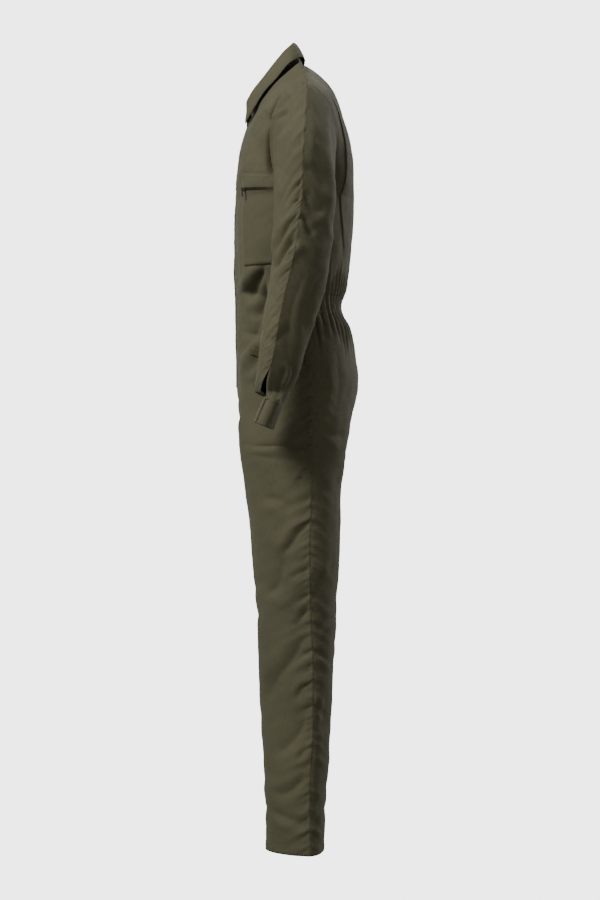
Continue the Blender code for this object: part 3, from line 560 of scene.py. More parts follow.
def felled(distance, along, seed, wide=8.5):
    """The lap of a felled seam: a doubled band between two rows of stitches, drawn up by both."""
    band = welt(distance, wide, 0.55, 1.6)
    rows = groove(distance - 2, 0.3, 1.5) + groove(distance - wide + 1, 0.4, 1.7)
    lumps = 1.2 * ripple(along, 9.5, seed + 7) * np.exp(-((distance - 5.5) / 3.4)**2)
    rays = ripple(along + 0.5 * distance, 12.5, seed + 9) * np.exp(-((distance - wide) / 9)**2)
    return band + rows + lumps + rays * ease((distance - wide) / 3)

# %% [markdown]
# Some seams are shared by two panels or repeated on them: the side seam, the inside leg seam and the
# hem. Each is written once, so both panels are drawn up alike and the seam stays closed.

# %% Seams that panels share
HEM_DEPTH = 15
HEM_STITCH = 14


def side_seam(side, height, seed, edge):
    """The side seam on one of its panels: the edge's own form, the shared puckers and the ridge."""
    return edge + drawn(side, height, seed + 11, 1.5, 1.2) + ridge(side, 2.0, 16)


def leg_seam(inner, height, seed):
    """The inside leg seam, a plain one."""
    return groove(inner, 0.35) + drawn(inner, height, seed + 13, 0.5)


def hem(up, along, seed):
    """The turned hem and the puckers at its line of stitches."""
    turned = welt(up, HEM_DEPTH, 0.7, 1.4) + groove(up - HEM_STITCH, 0.45, 1.3)
    return turned + pucker(up - HEM_STITCH, along, 16, 9, 0.7, seed + 14)


def beside_elastic(distance, side):
    """Creases die out at the elastic, but not beside the side seam, where they cross to the front."""
    return 1 - (1 - ease(distance / 30)) * ease(side / 20)


print("hem", HEM_DEPTH, "mm deep, stitched at", HEM_STITCH, "mm")

# %% [markdown]
# ## Laying a sheet
#
# A sheet is a grid of points. Its rows run across the body and its columns run up it, so the distance
# to each edge is known everywhere, and seams, hems and stitches can be placed by measure, as a
# machinist does. The flat lengths along rows and columns become the UV map in metres, which lets the
# weave keep its true size. A Solidify modifier then gives the cloth its thickness.

# %% Sheets with measured edges
class Cloth:
    """A grid of points with its normals and the distance of each point from its four edges."""

    def __init__(self, rows, turned=False):
        self.base = np.array(rows)
        self.turned = turned
        across = np.linalg.norm(np.diff(self.base, axis=1), axis=2)
        up = np.linalg.norm(np.diff(self.base, axis=0), axis=2)
        self.from_inner = np.concatenate([np.zeros((len(rows), 1)), np.cumsum(across, axis=1)], axis=1)
        self.to_outer = self.from_inner[:, -1:] - self.from_inner
        self.from_foot = np.concatenate([np.zeros((1, up.shape[1])), np.cumsum(up, axis=0)], axis=0)
        self.to_top = self.from_foot[-1:] - self.from_foot
        self.normals = self.facing(self.base)
        self.points = self.base.copy()

    def facing(self, points):
        """The way out of the cloth at each point of a grid."""
        out = np.cross(np.gradient(points, axis=1), np.gradient(points, axis=0)) * (-1 if self.turned else 1)
        return out / np.maximum(np.linalg.norm(out, axis=2, keepdims=True), 1e-9)

    def lean(self, edge, way, reach=14.0, where=1.0):
        """Turn the normals beside an edge towards one way out, so that both sheets of a seam share it."""
        column, distance = (0, self.from_inner) if edge == "inner" else (-1, self.to_outer)
        way = np.array(way, float)
        ahead = unit(np.gradient(self.base[:, column], axis=0))
        out = unit(way - ahead * (ahead @ way)[:, None])
        weight = (ease(1 - distance / reach) * where)[..., None]
        self.normals = unit(self.normals * (1 - weight) + out[:, None] * weight)

    def press(self, depth):
        """Move every point along its normal."""
        self.points = self.points + self.normals * depth[..., None]

    def tuck(self, under, first=False):
        """Run the outer or the first edge on beneath the next sheet, as a seam allowance does."""
        step = float(np.linalg.norm(under))

        def longer(values, change):
            edge = values[:, 0 if first else -1][:, None] + change
            return np.concatenate([edge, values] if first else [values, edge], axis=1)
        self.points = longer(self.points, np.array(under))
        self.normals = longer(self.normals, 0)
        self.from_foot = longer(self.from_foot, 0)
        self.from_inner = longer(self.from_inner, -step if first else step) + (step if first else 0)

    def tuck_foot(self, reach, drop):
        """Run the foot edge on beneath the next sheet, away from the first rows and under them."""
        back = unit(self.points[0] - self.points[2])
        edge = (self.points[0] + back * reach - self.normals[0] * drop)[None]
        self.points = np.concatenate([edge, self.points])
        self.from_inner = np.concatenate([self.from_inner[:1], self.from_inner])
        self.from_foot = np.concatenate([self.from_foot[:1], self.from_foot + reach])

    def at(self, row, column, lift=0.0):
        """Points of the finished surface at fractional rows and columns, lifted off it."""
        row = np.clip(np.asarray(row, float), 0, len(self.points) - 1.001)
        column = np.clip(np.asarray(column, float), 0, self.points.shape[1] - 1.001)
        i, j = row.astype(int), column.astype(int)
        s, t = (row - i)[..., None], (column - j)[..., None]

        def mix(grid):
            return ((1 - s) * (1 - t) * grid[i, j] + (1 - s) * t * grid[i, j + 1]
                    + s * (1 - t) * grid[i + 1, j] + s * t * grid[i + 1, j + 1])
        out = unit(mix(self.facing(self.points)))
        return mix(self.points) + out * lift, out


# %% From a grid to a piece of the suit
def metres(points):
    """Millimetres above the hem as metres from the hold point, which is where the plain model is."""
    return (points - np.array([0, 0, HOLD_HEIGHT])) * 0.001


def stand_for(node):
    """The piece is shown in place of a plain one, which is hidden."""
    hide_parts(node)


SHEETS = {}


def lay(name, node, cloth, sign, thick, material):
    """Make the mesh of a sheet, with its measured UV map and its thickness, in place of a plain node."""
    rows, columns = cloth.points.shape[:2]
    corners = metres(cloth.points.reshape(-1, 3)) * (sign, 1, 1)
    index = np.arange(rows * columns).reshape(rows, columns)
    quads = np.stack([index[:-1, :-1], index[:-1, 1:], index[1:, 1:], index[1:, :-1]], axis=-1).reshape(-1, 4)
    if cloth.turned != (sign < 0):
        quads = quads[:, ::-1]
    mesh = bpy.data.meshes.new(name)
    mesh.from_pydata(corners.tolist(), [], quads.tolist())
    flat = mesh.uv_layers.new(name="cloth")
    run = np.stack([cloth.from_inner, cloth.from_foot], axis=-1).reshape(-1, 2) * 0.001
    flat.data.foreach_set("uv", run[quads.reshape(-1)].ravel())
    mesh.polygons.foreach_set("use_smooth", [True] * len(mesh.polygons))
    mesh.materials.append(material)
    piece = bpy.data.objects.new(name, mesh)
    bpy.context.scene.collection.objects.link(piece)
    wall = piece.modifiers.new("thickness", "SOLIDIFY")
    wall.thickness = thick * 0.001
    wall.offset = 0
    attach(piece, "suit")
    stand_for(node)
    SHEETS[name] = piece
    print(name, "is a grid of", rows, "by", columns)

# %% [markdown]
# ## Cloth for the whole suit: an olive twill
#
# Work twill is a diagonal weave of polyester and cotton. From across a room it is a matt olive with a
# faint satin light along its folds; close to, fine ribs run at a slant and the yarns vary a little in
# tone. The weave is one node group, so every panel shares it, and each material sets its own colours.
# The short helpers below place a node and fill its sockets by name, in every material of the suit.

# %% Nodes by the names of their sockets
def fill(tree, node, values):
    """Give each named socket of a node a value, or the output of another node."""
    for name, value in values.items():
        if isinstance(value, bpy.types.NodeSocket):
            tree.links.new(value, node.inputs[name])
        else:
            node.inputs[name].default_value = value


def add_node(tree, kind, values=None, **settings):
    """A new shader node, with its settings first, because some of them give it its sockets."""
    node = tree.nodes.new(f"ShaderNode{kind}")
    for name, value in settings.items():
        setattr(node, name, value)
    fill(tree, node, values or {})
    return node.outputs


def maths(tree, operation, *values):
    return add_node(tree, "Math", dict(enumerate(values)), operation=operation)[0]


def mix_colours(tree, share, first, second):
    return add_node(tree, "Mix", {0: share, 6: first, 7: second}, data_type="RGBA")[2]


def noise(tree, place, scale, detail=2.0):
    return add_node(tree, "TexNoise", {"Vector": place, "Scale": scale, "Detail": detail})["Fac"]


def bump(tree, height, strength, distance, beneath=None):
    sockets = {"Height": height, "Strength": strength, "Distance": distance}
    if beneath:
        sockets["Normal"] = beneath
    return add_node(tree, "Bump", sockets)[0]


def new_material(name):
    """A material with its node tree, its main shader and the place of each point on the piece."""
    material = bpy.data.materials.new(name)
    material.use_nodes = True
    tree = material.node_tree
    return material, tree, tree.nodes["Principled BSDF"], add_node(tree, "TexCoord")["Object"]

# %% Weave group
RIB_SLANT = 0.62
CROSS_YARNS = 1.7
YARN_STRETCH = (1400, 90, 1)


def twill_weave():
    """Slanting ribs crossed by fine yarns, uneven yarn tone, and soft wear, from the cloth's own map."""
    group = bpy.data.node_groups.new("twill weave", "ShaderNodeTree")
    inputs = {"Cloth": "Vector", "Place": "Vector", "Ribs per metre": "Float",
              "Dark": "Color", "Light": "Color"}
    outputs = {"Color": "Color", "Height": "Float", "Tone": "Float"}
    for way, sockets in (("INPUT", inputs), ("OUTPUT", outputs)):
        for label, kind in sockets.items():
            group.interface.new_socket(label, in_out=way, socket_type=f"NodeSocket{kind}")
    given = group.nodes.new("NodeGroupInput").outputs

    def plus(first, second):
        return maths(group, "ADD", first, second)

    def times(first, second):
        return maths(group, "MULTIPLY", first, second)
    x, y, _ = add_node(group, "SeparateXYZ", {0: given["Cloth"]})
    turn = times(given["Ribs per metre"], 2 * math.pi)
    rib = maths(group, "SINE", times(plus(x, times(y, RIB_SLANT)), turn))
    cross = maths(group, "SINE", times(maths(group, "SUBTRACT", y, x), times(turn, CROSS_YARNS)))
    height = plus(times(rib, 0.5), times(cross, 0.25))
    # uneven yarns: noise drawn out along the warp, over slow clouds of wear
    warp = add_node(group, "Mapping", {"Vector": given["Cloth"], "Scale": YARN_STRETCH})[0]
    yarn = noise(group, warp, scale=1.0)
    wear = noise(group, given["Place"], scale=7.0, detail=4.0)
    tone = plus(plus(times(yarn, 0.45), times(wear, 0.55)), times(height, 0.08))
    share = add_node(group, "MapRange", {"Value": tone, "From Min": 0.34, "From Max": 0.66})[0]
    colour = mix_colours(group, share, given["Dark"], given["Light"])
    fill(group, group.nodes.new("NodeGroupOutput"), {"Color": colour, "Height": height, "Tone": tone})
    return group


WEAVE = twill_weave()
print("weave nodes", len(WEAVE.nodes))

# %% Cloths
ROUGHNESS = 0.8
ROUGHNESS_CHANGE = 0.06


def cloth_material(name, dark, light, ribs=900.0, sheen=0.12):
    """A matt cloth with a faint sheen; every cloth of the suit is one of these with its own colours."""
    material, tree, shader, place = new_material(name)
    flat = add_node(tree, "UVMap", uv_map="cloth")[0]
    weave = add_node(tree, "Group", {"Cloth": flat, "Place": place, "Ribs per metre": ribs,
                                     "Dark": (*dark, 1), "Light": (*light, 1)}, node_tree=WEAVE)
    yarns = bump(tree, weave["Height"], strength=0.35, distance=0.0003)
    crumple = noise(tree, place, scale=55.0, detail=3.0)
    surface = bump(tree, crumple, strength=0.25, distance=0.0012, beneath=yarns)
    rough = add_node(tree, "MapRange", {"Value": weave["Tone"], "To Min": ROUGHNESS - ROUGHNESS_CHANGE,
                                        "To Max": ROUGHNESS + ROUGHNESS_CHANGE})[0]
    fill(tree, shader, {"Base Color": weave["Color"], "Normal": surface, "Roughness": rough,
                        "Sheen Weight": sheen, "Sheen Roughness": 0.45, "Sheen Tint": (0.85, 0.83, 0.68, 1),
                        "Specular IOR Level": 0.28})
    return material


TWILL = cloth_material("olive twill", (0.061, 0.0565, 0.030), (0.089, 0.083, 0.045))
TWILL_DOUBLE = cloth_material("olive twill, doubled", (0.065, 0.060, 0.032), (0.094, 0.087, 0.048))
TAPE = cloth_material("zip tape", (0.022, 0.021, 0.014), (0.036, 0.033, 0.023), ribs=1400.0, sheen=0.1)
print("cloths:", TWILL.name, TWILL_DOUBLE.name, TAPE.name)

# %% [markdown]
# ## The fronts
#
# Each front is cut in one length from shoulder to hem. The grid follows the plain solid's own rows and
# columns, seven fine columns to each plain one, so anything measured on the pattern falls in the same
# place here. Creases, slow waves and seams are then pressed into it, from the largest to the smallest.

# %% Rows of a sheet, close enough together
LEG_HEIGHTS = [0, 60, 128, 245, 362, 420, 479, 540, 595, 650, 700, 740, 765, 777, CROTCH_HEIGHT]
RISE_STEPS = [0.03, 0.1, 0.22, 0.4, 0.65, 1.0]
PLACES = [0, 0.085, 0.19, 0.30, 0.405, 0.51, 0.61, 0.71, 0.80, 0.885, 0.955, 1]
FRONT_LEVELS = LEG_HEIGHTS + [CROTCH_HEIGHT + step * (RISE_TOP - CROTCH_HEIGHT) for step in RISE_STEPS]
FRONT_LEVELS = FRONT_LEVELS + [926, 950, 975, 1000, 1018, CASING_BOTTOM, CASING_TOP, 1103, 1131, 1200, 1265]
FRONT_STEPS = [0, 0.04, 0.085, 0.20, 0.29, 0.40, 0.52, 0.62, NECK_STEP, 0.77, 0.82, 0.865, 0.91, 0.955, 1.0]
BACK_STEPS = [0, 0.12, 0.28, 0.44, 0.60, 0.74, 0.86, 0.94, 0.96, 0.98, 1.0]
FINE = 7
FINE_PLACES = np.interp(np.linspace(0, 11, 11 * FINE + 1), range(12), PLACES)
# Measured where a seam isn't, its distance is this, so that it has no say there.
FAR = 99
# Creases die out over this much beside the centre line, and beside the armhole.
CENTRE_FADE = 16
ARMHOLE_FADE = 14
# The panels that meet at a seam share these seeds, so it stays closed.
BODY_SEEDS = {"left": 11, "right": 141}
GATHER_SEEDS = {"left": 17, "right": 147}


def stack(levels, make, pitch=4.4):
    """Fine rows between a list of levels, with the plain row that each one stands at."""
    rows = []
    marks = []
    for k in range(len(levels) - 1):
        low, high = make(levels[k]), make(levels[k + 1])
        count = max(2, int(np.ceil(np.linalg.norm(high - low, axis=1).max() / pitch)))
        for j in range(count):
            rows.append(make(levels[k] + (levels[k + 1] - levels[k]) * j / count))
            marks.append(k + j / count)
    return rows + [high], np.array(marks + [len(levels) - 1.0])


def dress(cloth, where, seed, slow=(1.1, 95), quick=(0.35, 30)):
    """Creases, and slow and quick waves of a size and wavelength."""
    move = crease_depth(cloth.base, cloth.normals, where, seed)
    move += breath(cloth.base, *slow, seed) + breath(cloth.base, *quick, seed + 3)
    return move


print("levels of a front below and above the underarm:", len(FRONT_LEVELS), len(FRONT_STEPS))

# %% The fronts
# What is sewn on the front starts at a plain row, and runs from a plain column to the side.
SEWN_ON = ((34, 4), (29, 5))
SEWN_ON_END = 10
# The hollow beside the armhole, in front of the arm.
HOLLOW_DEPTH = 21
HOLLOW_FOOT = 1285
HOLLOW_TOP = 1455


def front_cloth(seed):
    """One front, with the plain row of each of its fine rows kept as marks."""
    below, low_marks = stack(FRONT_LEVELS, lambda height: body_row(height, False, FINE_PLACES))
    above, high_marks = stack(FRONT_STEPS, lambda step: yoke_row(FRONT_YOKE, step, FINE_PLACES))
    cloth = Cloth(below[:-1] + above)
    cloth.marks = np.concatenate([low_marks[:-1], high_marks + len(FRONT_LEVELS) - 1])
    height = cloth.base[..., 2]
    inner, side, up = cloth.from_inner, cloth.to_outer, cloth.from_foot
    below_arm = ease((UNDERARM - height) / 8)
    leg = ease((CROTCH_HEIGHT - height) / 14)
    cloth.lean("outer", (1, 0, 0), 16, below_arm)
    cloth.lean("inner", (-1, 0, 0), 16, leg)
    cloth.lean("inner", (0, -1, 0), 12, 1 - leg)
    centre = np.where(height > CROTCH_HEIGHT, inner, FAR)
    armhole = np.where(height > UNDERARM, side, FAR)
    cloth.press(dress(cloth, "body", seed) * ease(centre / CENTRE_FADE) * ease(armhole / ARMHOLE_FADE))
    # the side seam is felled: its lap lies on the front, held by two lines of stitches
    cloth.press(side_seam(side, height, seed, felled(side, height, seed + 30)) * below_arm)
    # in front of the arm the cloth sinks beside the armhole, where the sleeve head rolls over it
    hollow = -HOLLOW_DEPTH * np.exp(-((side - 9) / 8)**2)
    hollow = hollow * ease((height - HOLLOW_FOOT) / 40) * ease((HOLLOW_TOP - height) / 50)
    cloth.press((welt(side, 6, 0.3, 3.0) + hollow + drawn(side, up, seed + 12, 0.35)) * (1 - below_arm))
    cloth.press(leg_seam(inner, height, seed) * leg)
    cloth.press(hem(up, inner, seed))
    cloth.press(groove(cloth.to_top, 0.35) + drawn(cloth.to_top, inner, seed + 15, 0.25))
    # the front sinks a little along the edges of the pieces sewn on it
    across = np.arange(cloth.points.shape[1]) / FINE
    for plain_row, first in SEWN_ON:
        line = up[int(round(np.interp(plain_row, cloth.marks, np.arange(len(cloth.marks)))))]
        dip = groove(up - line, 1.1, 2.6) - groove(up - line - 8, 0.5, 5)
        cloth.press(dip * ease((across - first) * 2) * ease((SEWN_ON_END - across) * 3))
    return cloth


FRONT = {side_name: front_cloth(BODY_SEEDS[side_name]) for side_name, _ in SIDES}
for side_name, sign in SIDES:
    lay(f"front_cloth_{side_name}", f"front_{side_name}", FRONT[side_name], sign, 1.0, TWILL)
print("front grid", FRONT["left"].points.shape, "top", round(float(FRONT["left"].points[..., 2].max())), "mm")

# %% [markdown]
# ## The seat and the leg backs
#
# The seat hangs from the elastic waist, so its top is full of gathers. Elastic draws cloth into folds
# that are sharp in the valley and round on the ridge, and each fold runs its own length before it melts
# into the panel. The same waves cross the waist casing and the bodice, so they stay in step at the seams.

# %% Gathers with their own depth and length
GATHER_COLUMNS = 8 * GATHERS + 1
EVEN_PLACES = np.linspace(0, 1, GATHER_COLUMNS)


def gather_wave(share, height, seed):
    """How far the gathers move the cloth at a share of the half waist and at a height."""
    luck = np.random.default_rng(seed)
    strength = luck.uniform(0.65, 1.25, GATHERS + 2)
    under = luck.uniform(40, 104, GATHERS + 2)
    over = luck.uniform(34, 92, GATHERS + 2)
    turn = share * GATHERS + 0.16 * np.sin(share * 19) * np.sin(share * math.pi)
    number = np.clip(np.floor(turn + 0.5), 0, GATHERS).astype(int)
    beyond = np.where(height < CASING_BOTTOM, (CASING_BOTTOM - height) / under[number],
                      (height - CASING_TOP) / over[number])
    beyond = np.clip(beyond, 0, 1)
    valley = (0.5 + 0.5 * np.cos(turn * 2 * math.pi)) ** (2.8 - 1.8 * beyond)
    inside = (height > CASING_BOTTOM) & (height < CASING_TOP)
    size = np.where(inside, 4.6, 6.6) * (1 - ease(beyond)) * strength[number]
    fade = ease(share * 24) * ease((1 - share) * 24)
    return size * (0.55 - 1.45 * valley) * fade


def seat_row(height):
    """A row of the seat and leg back, whose columns even out towards the gathers."""
    fine = np.interp(np.linspace(0, 11, GATHER_COLUMNS), range(12), PLACES)
    toward = ease((height - RISE_TOP) / 100)
    return body_row(height, True, fine * (1 - toward) + EVEN_PLACES * toward)


def seat_cloth(seed, gather_seed):
    levels = [height for height in FRONT_LEVELS if height <= 975] + [1000, 1018, CASING_BOTTOM]
    cloth = Cloth(stack(levels, seat_row, 4.7)[0], turned=True)
    height = cloth.base[..., 2]
    side, inner, up = cloth.to_outer, cloth.from_inner, cloth.from_foot
    leg = ease((CROTCH_HEIGHT - height) / 14)
    cloth.lean("outer", (1, 0, 0), 16)
    cloth.lean("inner", (-1, 0, 0), 16, leg)
    cloth.lean("inner", (0, 1, 0), 12, 1 - leg)
    centre = ease(np.where(height > CROTCH_HEIGHT, inner, FAR) / CENTRE_FADE)
    cloth.press(dress(cloth, "body", seed) * centre * beside_elastic(CASING_BOTTOM - height, side))
    cloth.press(gather_wave(inner / inner[:, -1:], height, gather_seed))
    cloth.press(side_seam(side, height, seed, groove(side, 0.1)))
    cloth.press(leg_seam(inner, height, seed) * leg)
    # the seat seam on the centre line, felled for strength
    seat_seam = groove(inner, 0.5) + groove(inner - 8, 0.35, 1.4) + drawn(np.abs(inner - 6), up, 90, 0.35)
    cloth.press(seat_seam * (1 - leg))
    cloth.press(hem(up, inner, seed))
    cloth.press(groove(cloth.to_top, 0.6))
    cloth.tuck((-1.1, -2.6, 0.0))
    return cloth


SEAT = {side_name: seat_cloth(BODY_SEEDS[side_name], GATHER_SEEDS[side_name]) for side_name, _ in SIDES}
for side_name, sign in SIDES:
    lay(f"seat_cloth_{side_name}", f"back_leg_{side_name}", SEAT[side_name], sign, 1.0, TWILL)
print("seat grid", SEAT["left"].points.shape)

# %% [markdown]
# The waist casing is a tunnel of cloth with wide elastic inside, held by lines of shirring. It is one
# piece from side seam to side seam, so its two halves are joined on the centre line before it is laid.

# %% The elastic waist casing
# Two lines of stitches hold the elastic, this far over the casing's lower seam.
SHIRRING = (11.5, 22.5)


def joined(halves):
    """One sheet from two halves that meet on the centre line."""
    left, right = halves["left"], halves["right"]
    whole = Cloth.__new__(Cloth)
    flip = np.array([-1.0, 1.0, 1.0])
    whole.turned = left.turned
    whole.points = np.concatenate([(right.points * flip)[:, :0:-1], left.points], axis=1)
    whole.from_inner = np.concatenate([-right.from_inner[:, :0:-1], left.from_inner], axis=1)
    whole.from_foot = np.concatenate([right.from_foot[:, :0:-1], left.from_foot], axis=1)
    middle = right.points.shape[1] - 1
    whole.points[:, middle] = (left.points[:, 0] + right.points[:, 0] * flip) / 2
    whole.points[:, middle, 0] = 0
    return whole


def casing_cloth(seed):
    rows, _ = stack([CASING_BOTTOM, CASING_MIDDLE, CASING_TOP],
                    lambda height: body_row(height, True, EVEN_PLACES), 2.4)
    cloth = Cloth(rows, turned=True)
    inner, up, down = cloth.from_inner, cloth.from_foot, cloth.to_top
    cloth.press(gather_wave(inner / inner[:, -1:], cloth.base[..., 2], seed))
    bulge = 1.1 * np.sin(np.clip(up / (up + down), 0, 1) * math.pi) ** 0.7
    low, high = (up - line for line in SHIRRING)
    shirred = groove(low, 0.7, 1.6) + groove(high, 0.7, 1.6) + groove(up, 0.9) + groove(down, 0.4)
    cloth.press(bulge + shirred + pucker(low, inner, 6, 7, 0.4, seed + 2)
                + pucker(high, inner, 6, 7, 0.4, seed + 4))
    return cloth


CASING = {side_name: casing_cloth(GATHER_SEEDS[side_name]) for side_name, _ in SIDES}
lay("waist_casing_cloth", "back_waist", joined(CASING), 1, 1.0, TWILL)
print("casing length", round(float(CASING["left"].from_inner[0, -1] * 2)), "mm round the back")

# %% [markdown]
# ## The back bodice and its action pleats
#
# Behind each shoulder the back is folded under itself in a deep pleat, which opens when the wearer
# reaches forward. In the grid a pleat is a stretch of columns that runs out, turns back beneath, and
# runs out again; the fold is read from nine plain points along a smooth curve. It fades out above the
# waist, where the elastic takes over.

# %% The pleated bodice
# Columns of a row: inside the pleat, across it and outside it.
INNER_COLUMNS = 30
PLEAT_COLUMNS = 41
OUTER_COLUMNS = 24
PLEAT_PRESSED = 0.36
PLEAT_TABLE = np.column_stack([np.arange(len(PLEAT)), PLEAT])
PLEAT_LINE = np.array([read(PLEAT_TABLE, place) for place in np.linspace(0, len(PLEAT) - 1, PLEAT_COLUMNS)])


def pleated(curve, centre_height):
    """A row of the bodice from the centre back to the armhole, and the way out of the body at each point."""
    length = lengths(curve)[-1]
    distance, folded = read(PLEAT_PLACE, centre_height)
    fold_at = length - distance
    inner = np.linspace(0, fold_at + PLEAT[0, 0], INNER_COLUMNS + 1)[:-1]
    flat = fold_at + np.linspace(PLEAT[0, 0], PLEAT[-1, 0], PLEAT_COLUMNS)
    run = flat * (1 - folded) + (fold_at + PLEAT_LINE[:, 1]) * folded
    outer = np.linspace(run[-1], length, OUTER_COLUMNS + 1)[1:]
    places = np.concatenate([inner, run, outer]) / length
    rise = np.concatenate([inner * 0, PLEAT_LINE[:, 2] * folded * PLEAT_PRESSED, outer * 0])
    ahead = spread(curve, np.minimum(places + 0.01, 1)) - spread(curve, np.maximum(places - 0.01, 0))
    out = unit(np.cross(np.array([0, 0, 1.0]), ahead))
    return np.concatenate([spread(curve, places) + out * rise[:, None], out], axis=1)


def pleated_yoke(step):
    """A pleated row above the underarm."""
    curve = yoke_row(BACK_YOKE, step, np.linspace(0, 1, 81))
    return pleated(curve, curve[0][2])


def bodice_cloth(seed, gather_seed):
    below, _ = stack([CASING_TOP, 1098, 1124, 1155, 1200, 1265],
                     lambda height: pleated(trunk_row(height, True), height))
    both = np.array(below[:-1] + stack(BACK_STEPS, pleated_yoke)[0])
    cloth = Cloth(both[..., :3], turned=True)
    cloth.normals = unit(both[..., 3:])
    height = cloth.base[..., 2]
    inner, side, up, top = cloth.from_inner, cloth.to_outer, cloth.from_foot, cloth.to_top
    below_arm = ease((UNDERARM - height) / 8)
    cloth.lean("outer", (1, 0, 0), 16, below_arm)
    armhole = np.where(height > UNDERARM, side, FAR)
    fade = ease(inner / CENTRE_FADE) * ease(armhole / ARMHOLE_FADE)
    cloth.press(dress(cloth, "body", seed) * (fade * beside_elastic(height - CASING_TOP, side)))
    cloth.press(gather_wave(inner / inner[:, -1:], height, gather_seed))
    cloth.press(groove(up, 0.5) + groove(top, 0.4) + welt(top, 8, 0.6) + groove(top - 7.2, 0.35, 1.3))
    cloth.press(side_seam(side, height, seed, groove(side, 0.1)) * below_arm)
    cloth.press((groove(side, 0.3) + drawn(side, up, seed + 12, 0.35)) * (1 - below_arm))
    return cloth


BODICE = {side_name: bodice_cloth(BODY_SEEDS[side_name], GATHER_SEEDS[side_name]) for side_name, _ in SIDES}
lay("bodice_cloth", "back_upper", joined(BODICE), 1, 1.0, TWILL)
print("bodice grid", BODICE["left"].points.shape, "each half")

# %% [markdown]
# ## The sleeves
#
# Each sleeve is two lengths of twill, joined over the arm by a felled seam with two lines of stitches,
# and under it by a plain one. The sleeve head leaves the armhole sideways and turns down, so every
# column of the grid is a curve from a point of the armhole to the first level ring. A slit near the
# wrist lets the hand through, and gapes a little over the cuff.

# %% The lines of a sleeve and of its cuff
SLEEVE_LEVELS = [SLEEVE_TOP, 1210, 1180, 1150, 1125, 1100, 1060, 1010, 963, 930, 900, 884]
SLEEVE_PLACES = np.linspace(0, 1, 65) ** 1.2
HEAD_ROWS = 54
# The two halves of a sleeve share the seeds of the seams that join them.
OVERARM_SEED = 31
OVERARM_LAP_SEED = 41
UNDERARM_SEED = 33


def cuff_point(height, angle, rise=0.0):
    """A point of the cuff at an angle from its outer side, positive towards the back."""
    x, y, half_width, half_depth = read(CUFF, height)
    across = (half_width + rise) * math.copysign(abs(math.cos(angle))**CUFF_SQUARENESS, math.cos(angle))
    deep = (half_depth + rise) * math.copysign(abs(math.sin(angle))**CUFF_SQUARENESS, math.sin(angle))
    return np.array([x + across, y + deep * math.cos(CUFF_TILT), height - deep * math.sin(CUFF_TILT)])


def cuff_arc(back, below=0):
    """Half a ring of the cuff, from the slit to the underarm seam, at a depth below the cuff's top."""
    start = SLIT_ANGLE + (SLIT_HALF_ANGLE if back else -SLIT_HALF_ANGLE)
    end = math.pi if back else -math.pi
    curve = [cuff_point(CUFF_TOP - below, start + (end - start) * t) for t in np.linspace(0, 1, 121)]
    return spread(np.array(curve), SLEEVE_PLACES)


def sleeve_level(height, back):
    """A level row of the sleeve, which stands open at the slit."""
    curve = sleeve_half(height, back)
    open_share = SLIT_GAPE * np.clip((SLIT_TOP - height) / SLIT_RUN, 0, 1) / lengths(curve)[-1]
    return spread(curve, open_share + SLEEVE_PLACES * (1 - open_share))


def sleeve_head(outer, level, share):
    """One line of the sleeve head, from a point of the armhole down to the first level ring."""
    reach = np.linalg.norm(level - outer)
    side = 1 if level[1] > outer[1] else -1
    leave = np.array([HEAD_LEAVE[0] + HEAD_LEAVE[1] * share, HEAD_BULGE * side * math.sin(share * math.pi),
                      HEAD_LEAVE_DOWN[0] + HEAD_LEAVE_DOWN[1] * share])
    return bezier(outer, outer + leave * reach / 3, level - HEAD_ARRIVE * reach / 3, level, HEAD_ROWS)


# %% Sleeve halves
def sleeve_grid(back):
    """The plain form of a sleeve half: head, level rows, the draw to the cuff, and the end inside it."""
    table = BACK_YOKE if back else FRONT_YOKE
    armhole = spread(np.array([read(table, step)[3:6] for step in np.linspace(1, 0, 240)]), SLEEVE_PLACES)
    first = sleeve_level(SLEEVE_TOP, back)
    heads = np.array([sleeve_head(a, b, s) for a, b, s in zip(armhole, first, SLEEVE_PLACES)])
    head = [heads[:, k] for k in range(HEAD_ROWS - 1)]
    down, _ = stack(SLEEVE_LEVELS, lambda height: sleeve_level(height, back), 3.3)
    arc = cuff_arc(back)
    drawn_in = [down[-1] + (arc - down[-1]) * t for t in np.linspace(0, 1, 7)[1:]]
    # the end of the sleeve is sewn in between the two layers of the cuff
    tail = [cuff_arc(back, SLEEVE_TAIL * t) for t in (0.4, 1)]
    return Cloth(head + down + drawn_in + tail, turned=back)


